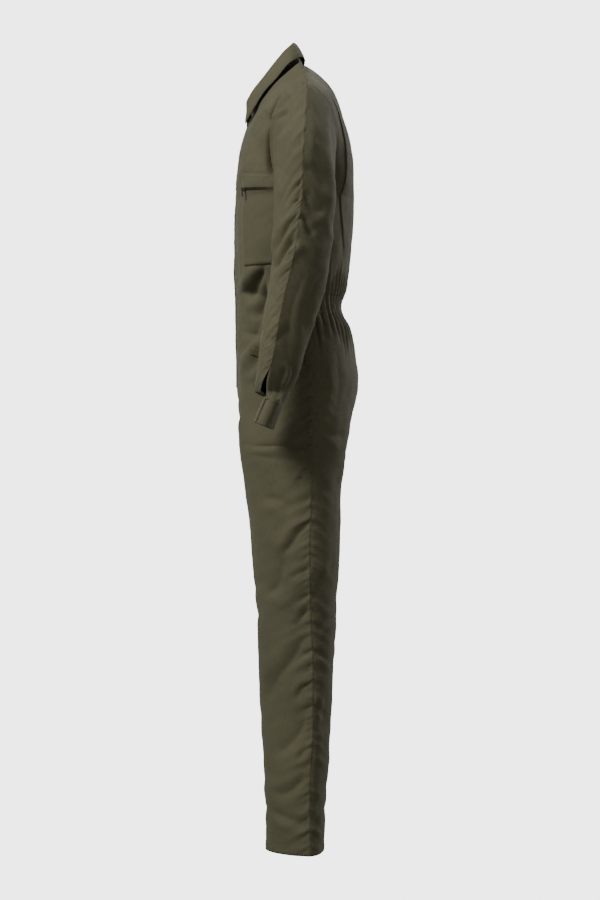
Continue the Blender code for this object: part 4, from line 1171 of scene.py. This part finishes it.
def sleeve_cloth(back, seed):
    cloth = sleeve_grid(back)
    height = cloth.base[..., 2]
    from_head, over, under = cloth.from_foot, cloth.from_inner, cloth.to_outer
    to_cuff = np.maximum(cloth.to_top - SLEEVE_TAIL, 0)
    cloth.lean("inner", (1, 0, 0.25), 14)
    cloth.lean("outer", (-1, 0, 0), 12)
    creases = dress(cloth, "sleeve", seed, slow=(1.0, 70), quick=(0.35, 26))
    cloth.press(creases * ease(from_head / 9) * ease(to_cuff / 12))
    # the overarm seam is drawn up most at the upper arm and least near the wrist; its lap is on the front
    tight = 1.5 + 0.5 * np.exp(-((height - 1230) / 60)**2) - 1.0 * ease((1150 - height) / 60)
    if back:
        overarm = groove(over, 0.1) + drawn(over, -from_head, OVERARM_SEED, 0.5 * tight)
    else:
        overarm = felled(over, from_head, OVERARM_LAP_SEED, wide=10)
        overarm = overarm + drawn(over, -from_head, OVERARM_SEED, 1.35 * tight, 1.15)
    cloth.press(overarm + ridge(over, 3.0, 15) * ease(from_head / 20))
    cloth.press(groove(under, 0.3) + drawn(under, height, UNDERARM_SEED, 0.35))
    # the cap is a little fuller than the armhole, so it rolls over the seam in small gathers
    ahead = 0 if back else np.exp(-((height - 1365) / 55)**2)
    roll = (1.8 + 4.2 * ahead) * np.exp(-((from_head - 7) / 6)**2)
    cloth.press(roll - 0.2 + pucker(from_head, over, 13, 16, 0.8, seed + 14))
    # the slit's turned edges, and the tucks where the sleeve is drawn into the cuff
    slit = ease((SLIT_TOP - 4 - height) / 10)
    cloth.press(welt(over, 6, 0.5) * slit)
    tucks = pucker(to_cuff, over, 17, 26, 2.2, seed + 21) * ease(over / 10)
    cloth.press(groove(to_cuff, 0.5) + tucks * ease(to_cuff / 5)
                + pucker(to_cuff, over, 7, 7, 0.5, seed + 22))
    if back:
        cloth.tuck((-1.1, -2.4, -0.2), first=True)
    cloth.tuck_foot(2.5, 1.0)
    return cloth


SLEEVES = {}
for (side_name, sign), seed in zip(SIDES, (23, 153)):
    for part, back in (("front", False), ("back", True)):
        SLEEVES[part, side_name] = sleeve_cloth(back, seed)
        lay(f"sleeve_{part}_cloth_{side_name}", f"sleeve_{part}_{side_name}", SLEEVES[part, side_name],
            sign, 1.0, TWILL)
print("sleeve grid", SLEEVES["front", "left"].points.shape)

# %% [markdown]
# ## Cuffs and collar
#
# Cuffs and collar are doubled cloth with a stiff layer between, so they keep their shape and crease
# less. The cuff is one strip round the wrist whose end laps over its start at the slit. The collar has
# a stand that rises from the neckline and a fall that rolls over and lies on the shoulders, and their
# two halves mirror each other across the centre back.

# %% Cuffs
CUFF_STITCH = 6


def cuff_cloth(seed):
    """The cuff as one strip that goes round the wrist and laps over its own start."""
    lap_turn = CUFF_LAP / CUFF_RADIUS
    rows = []
    for height in np.linspace(CUFF_BOTTOM, CUFF_TOP - CUFF_DROP, 19):
        row = []
        for t in np.linspace(0, 1, 129):
            rise = CUFF_LAP_RISE * max(0, (t - LAP_START) / (1 - LAP_START))**1.5
            row.append(cuff_point(height, SLIT_ANGLE + (2 * math.pi + lap_turn) * t - lap_turn / 2, rise))
        rows.append(row)
    cloth = Cloth(rows)
    start, end, up, down = cloth.from_inner, cloth.to_outer, cloth.from_foot, cloth.to_top
    ends = ease(start / 12) * ease(end / 12)
    cloth.press(breath(cloth.base, 0.6, 50, seed) * ends * ease(down / 8))
    sewn = groove(up - CUFF_STITCH, 0.35, 1.3) + groove(down - CUFF_STITCH, 0.35, 1.3)
    cloth.press(sewn + pucker(up - CUFF_STITCH, start, 13, 6, 0.35, seed + 1) * ends)
    return cloth


CUFFS = {"left": cuff_cloth(29), "right": cuff_cloth(159)}
for side_name, sign in SIDES:
    lay(f"cuff_cloth_{side_name}", f"cuff_{side_name}", CUFFS[side_name], sign, 2.0, TWILL_DOUBLE)
print("cuff length", round(float(CUFFS["left"].from_inner[0, -1])), "mm")

# %% Collar stand and fall
COLLAR_STITCH = 6


def collar_lines(seed):
    """The stand and the fall of one half, from the centre front to the centre back."""
    front = [read(FRONT_YOKE, step)[0:3] for step in np.linspace(NECK_STEP, 1, 44)]
    back = [read(BACK_YOKE, step)[0:3] for step in np.linspace(1, 0.94, 18)[1:]]
    neck = np.array(front + back)
    neck[0, 0] = COLLAR_FRONT_GAP
    neck[:, 2] += NECK_RISE
    run = lengths(neck)
    fold = np.array([read(COLLAR, share) for share in run / run[-1]])
    roll, edge = fold[:, 0:3], fold[:, 3:6]
    out = unit((edge - roll) * (1, 1, 0))
    up = np.array([0, 0, 1.0])
    stand = np.array([bezier(a, a + (b - a) / 3 + o * STAND_BOW, a + (b - a) * 2 / 3 + o * STAND_BOW, b, 10)
                      for a, b, o in zip(neck, roll, out)]).transpose(1, 0, 2)
    fall = np.array([bezier(a, a + o * FALL_OUT + up * FALL_UP, b + (a - b) * FALL_LIE + o * FALL_BOW, b, 22)
                     for a, b, o in zip(roll, edge, out)]).transpose(1, 0, 2)
    return Cloth(stand), Cloth(fall)


def press_fall(cloth, seed):
    """The collar's fall breathes a little, and is stitched round its edge."""
    front, rim, foot = cloth.from_inner, cloth.to_top, cloth.from_foot
    back_fade = ease(cloth.to_outer / 14)
    cloth.press(breath(cloth.base, 0.7, 60, seed) * back_fade * ease(foot / 14))
    sewn = groove(rim - COLLAR_STITCH, 0.4, 1.3) + groove(front - COLLAR_STITCH, 0.4, 1.3)
    sewn = sewn + pucker(rim - COLLAR_STITCH, front, 15, 6, 0.3, seed + 1)
    cloth.press(sewn * back_fade + welt(rim, 6, 0.3) * ease(front / 10) * back_fade)


STAND, FALL = {}, {}
for side_name, seed in (("left", 37), ("right", 167)):
    STAND[side_name], FALL[side_name] = collar_lines(seed)
    press_fall(FALL[side_name], seed)
    # the halves meet at the centre back, so their columns are counted from there
    for cloth in (STAND[side_name], FALL[side_name]):
        cloth.points, cloth.from_foot = cloth.points[:, ::-1], cloth.from_foot[:, ::-1]
        cloth.from_inner = cloth.to_outer[:, ::-1]
        cloth.turned = True
lay("collar_stand_cloth", "collar_stand", joined(STAND), 1, 1.6, TWILL_DOUBLE)
lay("collar_fall_cloth", "collar_fall", joined(FALL), 1, 1.8, TWILL_DOUBLE)
print("collar edge", round(float(FALL["left"].from_inner[-1].max() * 2)), "mm long")

# %% [markdown]
# ## Pieces laid on the front
#
# The fly placket, the chest bands, the breast pockets and the pocket welts lie on the fronts. Each is
# read from the finished front between its own rows and columns and lifted off it, so it follows every
# crease beneath it, as a patch sewn on cloth does. Doubled edges are a little thicker.

# %% Patches that follow the front
def front_row(cloth, plain):
    """The fine row at a plain row number."""
    return np.interp(plain, cloth.marks, np.arange(len(cloth.marks)))


def stops(low, high, split=1):
    """Places from low to high that fall on the whole numbers between them, each step split in parts."""
    whole = np.arange(math.ceil(low * split + 0.2), math.floor(high * split - 0.2) + 1) / split
    return np.concatenate([[low], whole, [high]])


def patch(cloth, plain_rows, plain_columns, lift, split_down=1, split_across=1):
    """A sheet lying on the front between plain rows and columns; rows may change across the columns."""
    turns = np.array(plain_columns) * FINE
    columns = stops(turns[0], turns[-1], split_across)
    low, high = (front_row(cloth, np.interp(columns, turns, np.broadcast_to(row, len(turns))))
                 for row in plain_rows)
    share = (stops(low[0], high[0], split_down) - low[0]) / (high[0] - low[0])
    rows = low + (high - low) * share[:, None]
    return Cloth(cloth.at(rows, np.broadcast_to(columns, rows.shape), lift)[0])

# %% Pockets, bands, tapes and welts
PATCH_STITCH = 2.2
WELT_TOP = np.array([23.03, 22.62, 22.1, 21.55, 21.25])
PATCH_PLANS = {
    # plain rows, plain columns, lift, splits down and across, thickness
    "breast_pocket": ([29, 32.15], [5, 9.7], 1.15, 1, 2, 1.0),
    "chest_band": ([32.8, 34], [4, 10], 1.15, 2, 2, 1.0),
    "breast_zip": ([32, 33], [5, 9.7], 0.95, 2, 2, 0.6),
    "hip_welt": ([WELT_TOP - 0.6, WELT_TOP], [5.1, 6, 7, 8, 8.6], 1.45, 2, 2, 1.7),
    "side_welt": ([21.45, 25], [10, 10.8], 1.4, 1, 2, 1.6),
}
PATCHES = {}
for (side_name, sign), seed in zip(SIDES, (41, 171)):
    for name, (*plan, thick) in PATCH_PLANS.items():
        cloth = patch(FRONT[side_name], *plan)
        if name != "breast_zip":
            rim = np.minimum.reduce([cloth.from_inner, cloth.to_outer, cloth.from_foot, cloth.to_top])
            around = cloth.from_inner + cloth.from_foot
            cloth.press(welt(rim, 7, 0.25) + groove(rim, 0.15, 1.2) + groove(rim - PATCH_STITCH, 0.25, 1.0)
                        + pucker(rim - 2, around, 13, 8, 0.3, seed) * ease(rim / 3))
        PATCHES[name, side_name] = cloth
        lay(f"{name}_cloth_{side_name}", f"{name}_{side_name}", cloth, sign, thick,
            TAPE if name == "breast_zip" else TWILL)
pocket = PATCHES["breast_pocket", "left"]
print("patches:", len(PATCHES), "pocket", round(float(pocket.from_inner[0, -1])), "x",
      round(float(pocket.from_foot[-1, 0])), "mm")

# %% [markdown]
# The placket hides the closure down the middle of the front. It runs over both fronts from the rise
# to the collar, so its halves are read from the two fronts and joined on the centre line.

# %% The fly placket
PLACKET_STITCH = 5


def placket_half(cloth):
    half = patch(cloth, [20, 39], [0, 1], 1.3)
    half.points[:, 0, 0] = 0
    edge = half.to_outer
    half.press((groove(edge - PLACKET_STITCH, 0.35, 1.1) + pucker(edge - 4, half.from_foot, 15, 8, 0.4, 51))
               * ease(half.from_inner / 8))
    return half


PLACKET = {side_name: placket_half(FRONT[side_name]) for side_name, _ in SIDES}
lay("placket_cloth", "front_placket", joined(PLACKET), 1, 1.5, TWILL_DOUBLE)
print("placket", round(float(PLACKET["left"].from_foot[-1, 0])), "mm long")

# %% [markdown]
# ## Stitches
#
# Seen close, a seam is a row of small lying threads. Each stitch is a slim eight-sided grain, turned
# along its seam and set on the cloth. A line of stitches keeps its distance from an edge, which the
# sheets already know, so a seam is named by its sheet, its edge and its distance.

# %% Sewing tools
THREADS = {}


def seam_line(cloth, edge, distance, first=0.0, last=1.0):
    """Rows and columns of a line at a distance from an edge, from one share of its length to another."""
    upright = edge in ("inner", "outer")
    runs = cloth.from_inner if upright else cloth.from_foot.T
    marks = np.arange(int(first * (len(runs) - 1)), int(last * (len(runs) - 1)) + 1)
    found = []
    for run in runs[marks]:
        wanted = run[-1] - distance if edge in ("outer", "top") else distance
        found.append(np.interp(wanted, run, np.arange(len(run))))
    line = [marks.astype(float), np.array(found)]
    return line if upright else line[::-1]


def sew(name, cloth, line, sign, lift, pitch=3.3, long=2.5, wide=0.62, high=0.34):
    """Stitches along a line of a sheet, kept under a name until all of them are made into one mesh."""
    points, lean = cloth.at(line[0], line[1], lift)
    run = lengths(points)
    places = np.arange(pitch / 2, run[-1], pitch)
    if not len(places):
        return
    middle, out = at_lengths(points, run, places), at_lengths(lean, run, places)
    along = unit(at_lengths(points, run, places + 0.4) - at_lengths(points, run, places - 0.4))
    across = np.cross(out, along)
    grain = np.stack([middle - along * long / 2, middle + along * long / 2,
                      middle - across * wide / 2, middle + across * wide / 2,
                      middle + out * high, middle - out * 0.3], axis=1)
    THREADS.setdefault(name, []).append((grain.reshape(-1, 3), sign))


def bar_tack(name, cloth, row, column, sign, long, lift, upright=False):
    """A tight bar of thread across the end of an opening."""
    corner = cloth.points[int(row), int(column)]
    nearby = np.linalg.norm(cloth.points[int(row), int(column) + 1] - corner)
    rise = np.linalg.norm(cloth.points[int(row) + 1, int(column)] - corner)
    reach = np.linspace(-long / 2, long / 2, 12)
    for step in np.linspace(-0.9, 0.9, 4):
        if upright:
            line = (row + reach / rise, np.full(12, column + step / nearby))
        else:
            line = (np.full(12, row + step / rise), column + reach / nearby)
        sew(name, cloth, line, sign, lift, pitch=1.5, long=1.9, wide=0.6, high=0.4)

# %% Every stitched line of the suit
# Distances of the lines from their seams, and how far the threads lie off the middle of each cloth.
NEAR = 2.0
FELLED = 8.2
LAPPED = 8.0
ARMHOLE = 6.5
SINGLE_LIFT = 0.6
OVERARM_LIFT = 0.65
CASING_LIFT = 0.55
CUFF_LIFT = 1.05
FALL_LIFT = -0.95
PLACKET_LIFT = 0.85
PATCH_LIFTS = {"breast_pocket": 0.6, "chest_band": 0.6, "hip_welt": 0.95, "side_welt": 0.85}
EDGES = ("inner", "outer", "foot", "top")
for side_name, sign in SIDES:
    name = f"stitches_{side_name}"
    front, seat, bodice, casing = (half[side_name] for half in (FRONT, SEAT, BODICE, CASING))
    cuff, fall, placket = (half[side_name] for half in (CUFFS, FALL, PLACKET))
    sleeve = SLEEVES["front", side_name]
    under_arm = front_row(front, 31) / (len(front.points) - 1)
    seat_rows = np.arange(len(seat.base))
    rise = float(np.interp(CROTCH_HEIGHT, seat.base[:, 0, 2], seat_rows)) / seat_rows[-1]
    lines = [
        # sheet, edge, distance from it, lift off the sheet, and the shares that the line starts and ends at
        (front, "outer", NEAR, SINGLE_LIFT, 0, under_arm), (sleeve, "inner", NEAR, OVERARM_LIFT),
        (front, "outer", FELLED, SINGLE_LIFT, 0, under_arm), (sleeve, "inner", FELLED, OVERARM_LIFT),
        (front, "outer", ARMHOLE, SINGLE_LIFT, under_arm, 1),
        (front, "foot", HEM_STITCH, SINGLE_LIFT), (seat, "foot", HEM_STITCH, SINGLE_LIFT),
        (seat, "inner", NEAR, SINGLE_LIFT, rise, 1), (bodice, "top", NEAR, SINGLE_LIFT),
        (seat, "inner", LAPPED, SINGLE_LIFT, rise, 1), (bodice, "top", LAPPED, SINGLE_LIFT),
        (seat, "top", NEAR, SINGLE_LIFT), (bodice, "foot", NEAR, SINGLE_LIFT),
        (casing, "foot", SHIRRING[0], CASING_LIFT), (casing, "foot", SHIRRING[1], CASING_LIFT),
        (cuff, "foot", CUFF_STITCH, CUFF_LIFT), (cuff, "top", CUFF_STITCH, CUFF_LIFT),
        (cuff, "inner", CUFF_STITCH, CUFF_LIFT), (cuff, "outer", CUFF_STITCH, CUFF_LIFT),
        (fall, "top", COLLAR_STITCH, FALL_LIFT), (fall, "outer", COLLAR_STITCH, FALL_LIFT),
        (placket, "outer", PLACKET_STITCH, PLACKET_LIFT),
    ]
    for patch_name, lift in PATCH_LIFTS.items():
        lines += [(PATCHES[patch_name, side_name], edge, PATCH_STITCH, lift) for edge in EDGES]
    for cloth, edge, distance, lift, *shares in lines:
        sew(name, cloth, seam_line(cloth, edge, distance, *shares), sign, lift)
    pocket, welt_cloth = PATCHES["breast_pocket", side_name], PATCHES["hip_welt", side_name]
    for cloth, row, column, long, lift, upright in (
            (pocket, len(pocket.points) - 3.5, 2.5, 9, 0.7, False),
            (pocket, len(pocket.points) - 3.5, pocket.points.shape[1] - 4.5, 9, 0.7, False),
            (welt_cloth, 5.5, 2.0, 10, 1.0, True),
            (welt_cloth, 5.5, welt_cloth.points.shape[1] - 3.5, 10, 1.0, True),
            (PATCHES["side_welt", side_name], 2.5, 4.5, 10, 0.95, False)):
        bar_tack(name, cloth, row, column, sign, long, lift, upright)
    print(name, "has", len(THREADS[name]), "lines")

# %% Thread, and one mesh of stitches for each side
thread, tree, shader, place = new_material("olive thread")
fill(tree, shader, {"Base Color": mix_colours(tree, noise(tree, place, 900.0), (0.062, 0.057, 0.036, 1),
                                              (0.105, 0.096, 0.064, 1)), "Roughness": 0.6})
GRAIN_CORNERS = 6
GRAIN = np.array([(0, 2, 4), (2, 1, 4), (1, 3, 4), (3, 0, 4), (2, 0, 5), (1, 2, 5), (3, 1, 5), (0, 3, 5)])
for name, parts in THREADS.items():
    corners, faces, start = [], [], 0
    for grain, sign in parts:
        corners.append(metres(grain) * (sign, 1, 1))
        each = (GRAIN[None] + np.arange(0, len(grain), GRAIN_CORNERS)[:, None, None] + start).reshape(-1, 3)
        faces.append(each if sign > 0 else each[:, ::-1])
        start += len(grain)
    mesh = bpy.data.meshes.new(name)
    mesh.from_pydata(np.concatenate(corners).tolist(), [], np.concatenate(faces).tolist())
    mesh.materials.append(thread)
    piece = bpy.data.objects.new(name, mesh)
    bpy.context.scene.collection.objects.link(piece)
    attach(piece, "suit")
    print(name, start // GRAIN_CORNERS, "stitches")

# %% [markdown]
# ## The breast pocket zips
#
# A metal zip is two rows of teeth clamped to a tape. One tooth is modelled, a block with a raised tip,
# and copied along the tape in pairs half a pitch apart, so the rows mesh as real ones do.

# %% Metal, and tools for small hard parts
def worn_metal(name, dark, light, rough):
    """A worn metal: darker in its scratches, with uneven polish."""
    material, tree, shader, place = new_material(name)
    cloud = noise(tree, place, scale=420.0, detail=4.0)
    polish = add_node(tree, "MapRange", {"Value": cloud, "To Min": rough - 0.1, "To Max": rough + 0.12})[0]
    fill(tree, shader, {"Base Color": mix_colours(tree, cloud, (*dark, 1), (*light, 1)), "Roughness": polish,
                        "Normal": bump(tree, cloud, strength=0.2, distance=0.0001), "Metallic": 1.0})
    return material


BRASS = worn_metal("dull dark brass", (0.10, 0.085, 0.055), (0.24, 0.20, 0.13), 0.42)


def choose(thing, kind, wanted):
    """In edit mode, select the vertices, edges or faces that are wanted, and no others."""
    work = bmesh.from_edit_mesh(thing.data)
    for element in getattr(work, kind):
        element.select_set(wanted(element))
    if kind == "verts":
        work.select_flush(True)
    bmesh.update_edit_mesh(thing.data)


def block(name, size, centre=(0, 0, 0), bevel=0.0, segments=2):
    """A cube of a size in metres, its edges bevelled in edit mode."""
    bpy.ops.object.select_all(action="DESELECT")
    bpy.ops.mesh.primitive_cube_add(size=1, location=(0, 0, 0))
    thing = bpy.context.object
    thing.name = name
    bpy.ops.object.mode_set(mode="EDIT")
    bpy.ops.transform.resize(value=size)
    if bevel:
        bpy.ops.mesh.bevel(offset=bevel, segments=segments, affect="EDGES")
    bpy.ops.transform.translate(value=centre)
    bpy.ops.object.mode_set(mode="OBJECT")
    return thing


def placed(thing, across_way, up_way, out_way, centre, sign):
    """Move a finished mesh, modelled at the origin, to its place on the suit; sizes in metres."""
    turn = Matrix(np.column_stack([across_way, up_way, out_way]).tolist()).to_4x4()
    move = Matrix.Translation(Vector(centre)) @ turn
    if sign < 0:
        move = Matrix.Diagonal((-1, 1, 1, 1)) @ move
    thing.data.transform(move)
    if sign < 0:
        thing.data.flip_normals()


def join_up(parts, name, body):
    """Small metal parts as one piece with its name and finish, which rides on a body."""
    bpy.ops.object.select_all(action="DESELECT")
    for part in parts:
        part.select_set(True)
    bpy.context.view_layer.objects.active = parts[0]
    bpy.ops.object.join()
    whole = bpy.context.object
    whole.name = name
    whole.data.materials.append(BRASS)
    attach(whole, body)
    return whole


print("metal:", BRASS.name)

# %% [markdown]
# A tooth is a block whose front face is inset and drawn out to a tip. Every second one is turned round,
# so that the two rows mesh. Each copy has its own mesh, and all of them are then joined into one piece.

# %% Teeth
# Millimetres along the tape: from tooth to tooth, and where the rows start and end.
TOOTH_PITCH = 1.15
TEETH_START = 9.0
TEETH_END = 4
# How far a tooth stands from the middle line, and off the tape.
TOOTH_OFFSET = 0.9
TOOTH_LIFT = 0.9
tooth = block("zip_tooth", (0.0012, 0.0021, 0.0013))
bpy.ops.object.mode_set(mode="EDIT")
choose(tooth, "faces", lambda face: face.normal.y < -0.9)
bpy.ops.mesh.inset(thickness=0.00025, depth=0.0004)
bpy.ops.object.mode_set(mode="OBJECT")
for side_name, sign in SIDES:
    cloth = PATCHES["breast_zip", side_name]
    count = cloth.points.shape[1]
    line, lean = cloth.at(np.full(count, (len(cloth.points) - 1) / 2), np.arange(float(count)), TOOTH_LIFT)
    run = lengths(line)
    copies = []
    for number, stop in enumerate(np.arange(TEETH_START, run[-1] - TEETH_END, TOOTH_PITCH)):
        spot, beyond = at_lengths(line, run, [stop, stop + 1])
        ahead = unit(beyond - spot)
        out = at_lengths(lean, run, [stop])[0]
        out = unit(out - ahead * (out @ ahead))
        turn = 1 if number % 2 else -1
        up = np.cross(out, ahead) * turn
        copy = tooth.copy()
        copy.data = tooth.data.copy()
        bpy.context.scene.collection.objects.link(copy)
        placed(copy, ahead * turn, up, out, metres(spot + up * TOOTH_OFFSET), sign)
        copies.append(copy)
    row_of_teeth = join_up(copies, f"zip_teeth_{side_name}", "suit")
    print(row_of_teeth.name, len(copies), "teeth")
bpy.data.objects.remove(tooth, do_unlink=True)

# %% [markdown]
# The slider is a flat hood over the teeth with two lugs, and the pull hangs on a pin between them.
# The hood tapers to its closed end and every edge is rounded, because castings are tumbled smooth.
# The pull swings on its own body, so its hinge is taken from the plain model's joint.

# %% Slider and pull
# The left zip's hinge: its middle and its way, as the plain model's joint has them, and its height.
HINGE = np.array([0.13854, -0.11256, -0.22167])
HINGE_WAY = unit(np.array([0.9170, 0.3907, -0.0808]))
HINGE_RISE = 0.0041
# The slider's parts and the pull's, across, along and high.
HOOD_SIZE = (0.0078, 0.0088, 0.0023)
HOOD_TAPER = 0.72
LUG_SIZE = (0.0011, 0.0034, 0.0031)
LUG_PLACE = 0.00262
LUG_HEIGHT = 0.0036
PIN_RADIUS = 0.00045
PIN_LENGTH = 0.0056
TAB_SIZE = (0.0052, 0.0088, 0.0014)
TAB_PLACE = -0.0091
NECK_SIZE = (0.0032, 0.0056, 0.0013)
NECK_PLACE = -0.0020
SMOOTH_UNDER = math.radians(35)


def make_slider(name):
    """A tapered hood with two lugs and a pin, lying at the origin."""
    hood = block(f"{name}_hood", HOOD_SIZE, (0, 0, HOOD_SIZE[2] / 2))
    bpy.ops.object.mode_set(mode="EDIT")
    choose(hood, "verts", lambda vertex: vertex.co.x > 0)
    bpy.ops.transform.resize(value=(1, HOOD_TAPER, 1), center_override=(0, 0, 0))
    bpy.ops.mesh.select_all(action="SELECT")
    bpy.ops.mesh.bevel(offset=0.0006, segments=3, affect="EDGES")
    bpy.ops.object.mode_set(mode="OBJECT")
    lugs = [block("lug", LUG_SIZE, (side * LUG_PLACE, 0, LUG_HEIGHT), 0.0004, 3) for side in (-1, 1)]
    bpy.ops.object.select_all(action="DESELECT")
    bpy.ops.mesh.primitive_cylinder_add(vertices=16, radius=PIN_RADIUS, depth=PIN_LENGTH,
                                        location=(0, 0, HINGE_RISE), rotation=(0, math.pi / 2, 0))
    pin = bpy.context.object
    bpy.ops.object.transform_apply(location=True, rotation=True, scale=True)
    return [hood, *lugs, pin]


def make_pull():
    """A flat tab with rounded corners and a sunk face, on a neck that hangs from the pin."""
    tab = block("tab", TAB_SIZE, (0, TAB_PLACE, 0))
    bpy.ops.object.mode_set(mode="EDIT")
    choose(tab, "edges", lambda edge: abs(edge.verts[0].co.z - edge.verts[1].co.z) > 0.001)
    bpy.ops.mesh.bevel(offset=0.0016, segments=4, affect="EDGES")
    choose(tab, "faces", lambda face: abs(face.normal.z) > 0.9)
    bpy.ops.mesh.inset(thickness=0.0009, depth=0)
    bpy.ops.mesh.inset(thickness=0.0003, depth=-0.0004)
    bpy.ops.object.mode_set(mode="OBJECT")
    return [tab, block("neck", NECK_SIZE, (0, NECK_PLACE, 0), 0.0003, 2)]


for side_name, sign in SIDES:
    lean = PATCHES["breast_zip", side_name].at(np.array([3.5]), np.array([3.0]))[1][0]
    out = unit(lean - HINGE_WAY * (lean @ HINGE_WAY))
    up = np.cross(out, HINGE_WAY)
    for kind, body, parts, centre in (
            ("slider", "suit", make_slider(f"zip_slider_{side_name}"), HINGE - out * HINGE_RISE),
            ("pull", f"pull_{side_name}", make_pull(), HINGE)):
        metal = join_up(parts, f"zip_{kind}_metal_{side_name}", body)
        bpy.ops.object.shade_smooth_by_angle(angle=SMOOTH_UNDER)
        placed(metal, HINGE_WAY, up, out, centre, sign)
        stand_for(f"zip_{kind}_{side_name}")
        print(metal.name, "made, out", [round(float(value), 3) for value in out])

# %% [markdown]
# ## What each sheet was before it was sewn
#
# A sheet of cloth keeps its area however it is bent. For each one we say how wide and long its flat
# cut is, and the area of its middle surface. The sizes come from the finished grids, measured along
# their rows and columns.

# %% Flat sizes of the cloth
def flat_size(piece):
    """State a sheet's flat size, which is never less than the area of its middle surface."""
    flat = np.empty(len(piece.data.loops) * 2, np.float32)
    piece.data.uv_layers["cloth"].data.foreach_get("uv", flat)
    width, length = (float(size) for size in np.ptp(flat.reshape(-1, 2), axis=0))
    area = sum(face.area for face in piece.data.polygons)
    if width * length < area:
        width = area / length * 1.001
    print(f"{piece.name}: {width * 1000:.0f} x {length * 1000:.0f} mm, {area:.4f} square metres")


for name, piece in SHEETS.items():
    if "casing" in name or "seat" in name:
        flat_size(piece)
    elif "sleeve" in name or "front_cloth" in name:
        flat_size(piece)
    elif "cuff" in name:
        flat_size(piece)
    elif name == "bodice_cloth":
        flat_size(piece)
    elif "collar" in name:
        flat_size(piece)
    else:
        flat_size(piece)

# %% [markdown]
# ## Floor, light and camera
#
# A pale floor and soft light suit dark cloth. The key light stands in front of the wearer, a little to
# their left, so the front is bright and the side falls away; a weak fill lifts the shadows and a low
# light behind draws a faint edge on the back. The floor is plain near the suit and brightens outwards
# until it matches the pale surroundings, so no line shows where it ends.
# The camera looks straight at the wearer's left side from four metres, so that the suit isn't distorted.

# %% Stage
BACKGROUND = 4.0
AMBIENT = 0.19
FLOOR_HEIGHT = -HOLD_HEIGHT * 0.001 - 0.0015
PLAIN_FLOOR = 0.15
BRIGHT_FLOOR = 1.5


def brightness(tree):
    """The surroundings are bright to the camera alone, so that they don't flatten the folds."""
    seen = add_node(tree, "LightPath")["Is Camera Ray"]
    return maths(tree, "ADD", maths(tree, "MULTIPLY", seen, BACKGROUND - AMBIENT), AMBIENT)


bpy.ops.object.select_all(action="DESELECT")
bpy.ops.mesh.primitive_plane_add(size=60, location=(0, 0, FLOOR_HEIGHT))
floor = bpy.context.object
floor.name = "floor"
bpy.ops.object.transform_apply(location=True)
pale, tree, shader, place = new_material("pale floor")
fill(tree, shader, {"Base Color": (0.86, 0.86, 0.86, 1), "Roughness": 0.9})
away = add_node(tree, "VectorMath", {0: place}, operation="LENGTH")["Value"]
share = add_node(tree, "MapRange", {"Value": away, "From Min": PLAIN_FLOOR, "From Max": BRIGHT_FLOOR},
                 interpolation_type="SMOOTHSTEP")[0]
glow = add_node(tree, "Emission", {"Color": (1, 1, 1, 1), "Strength": brightness(tree)})[0]
blend = add_node(tree, "MixShader", {0: share, 1: shader.outputs[0], 2: glow})[0]
fill(tree, tree.nodes["Material Output"], {"Surface": blend})
floor.data.materials.append(pale)
world = bpy.data.worlds.new("studio")
bpy.context.scene.world = world
world.use_nodes = True
sky = world.node_tree
fill(sky, sky.nodes["Background"], {"Color": (1, 1, 1, 1), "Strength": brightness(sky)})
print("floor at", FLOOR_HEIGHT, "m")

# %% Lamps
def lamp(name, place, target_height, size, power):
    """A soft rectangular light that faces a height on the suit's middle line."""
    light = bpy.data.lights.new(name, "AREA")
    light.shape = "RECTANGLE"
    light.size, light.size_y = size
    light.energy = power
    thing = bpy.data.objects.new(name, light)
    thing.location = place
    thing.rotation_euler = (Vector((0, 0, target_height)) - Vector(place)).to_track_quat("-Z", "Y").to_euler()
    bpy.context.scene.collection.objects.link(thing)
    print(name, power, "W")


lamp("key light", (2.7, -2.9, 2.7), -0.7, (1.9, 1.9), 316)
lamp("fill light", (3.7, 1.7, -1.1), -0.6, (1.8, 1.2), 30)
lamp("back light", (-2.6, 3.0, 1.3), -0.6, (1.6, 2.0), 90)
lamp("far side light", (-3.4, -0.6, 0.5), -0.7, (1.6, 2.0), 32)

# %% Camera
SENSOR = 36
CAMERA_DISTANCE = 4.1
CAMERA_HEIGHT = -0.725
# Half of what the camera sees from top to bottom, where the suit hangs.
HALF_VIEW = 0.9
camera = bpy.data.cameras.new("camera")
camera.sensor_width = SENSOR
camera.lens = SENSOR / 2 * CAMERA_DISTANCE / HALF_VIEW
viewer = bpy.data.objects.new("camera", camera)
viewer.location = (CAMERA_DISTANCE, 0, CAMERA_HEIGHT)
viewer.rotation_euler = (math.pi / 2, 0, math.pi / 2)
bpy.context.scene.collection.objects.link(viewer)
bpy.context.scene.camera = viewer
print("camera lens", round(camera.lens, 1), "mm")
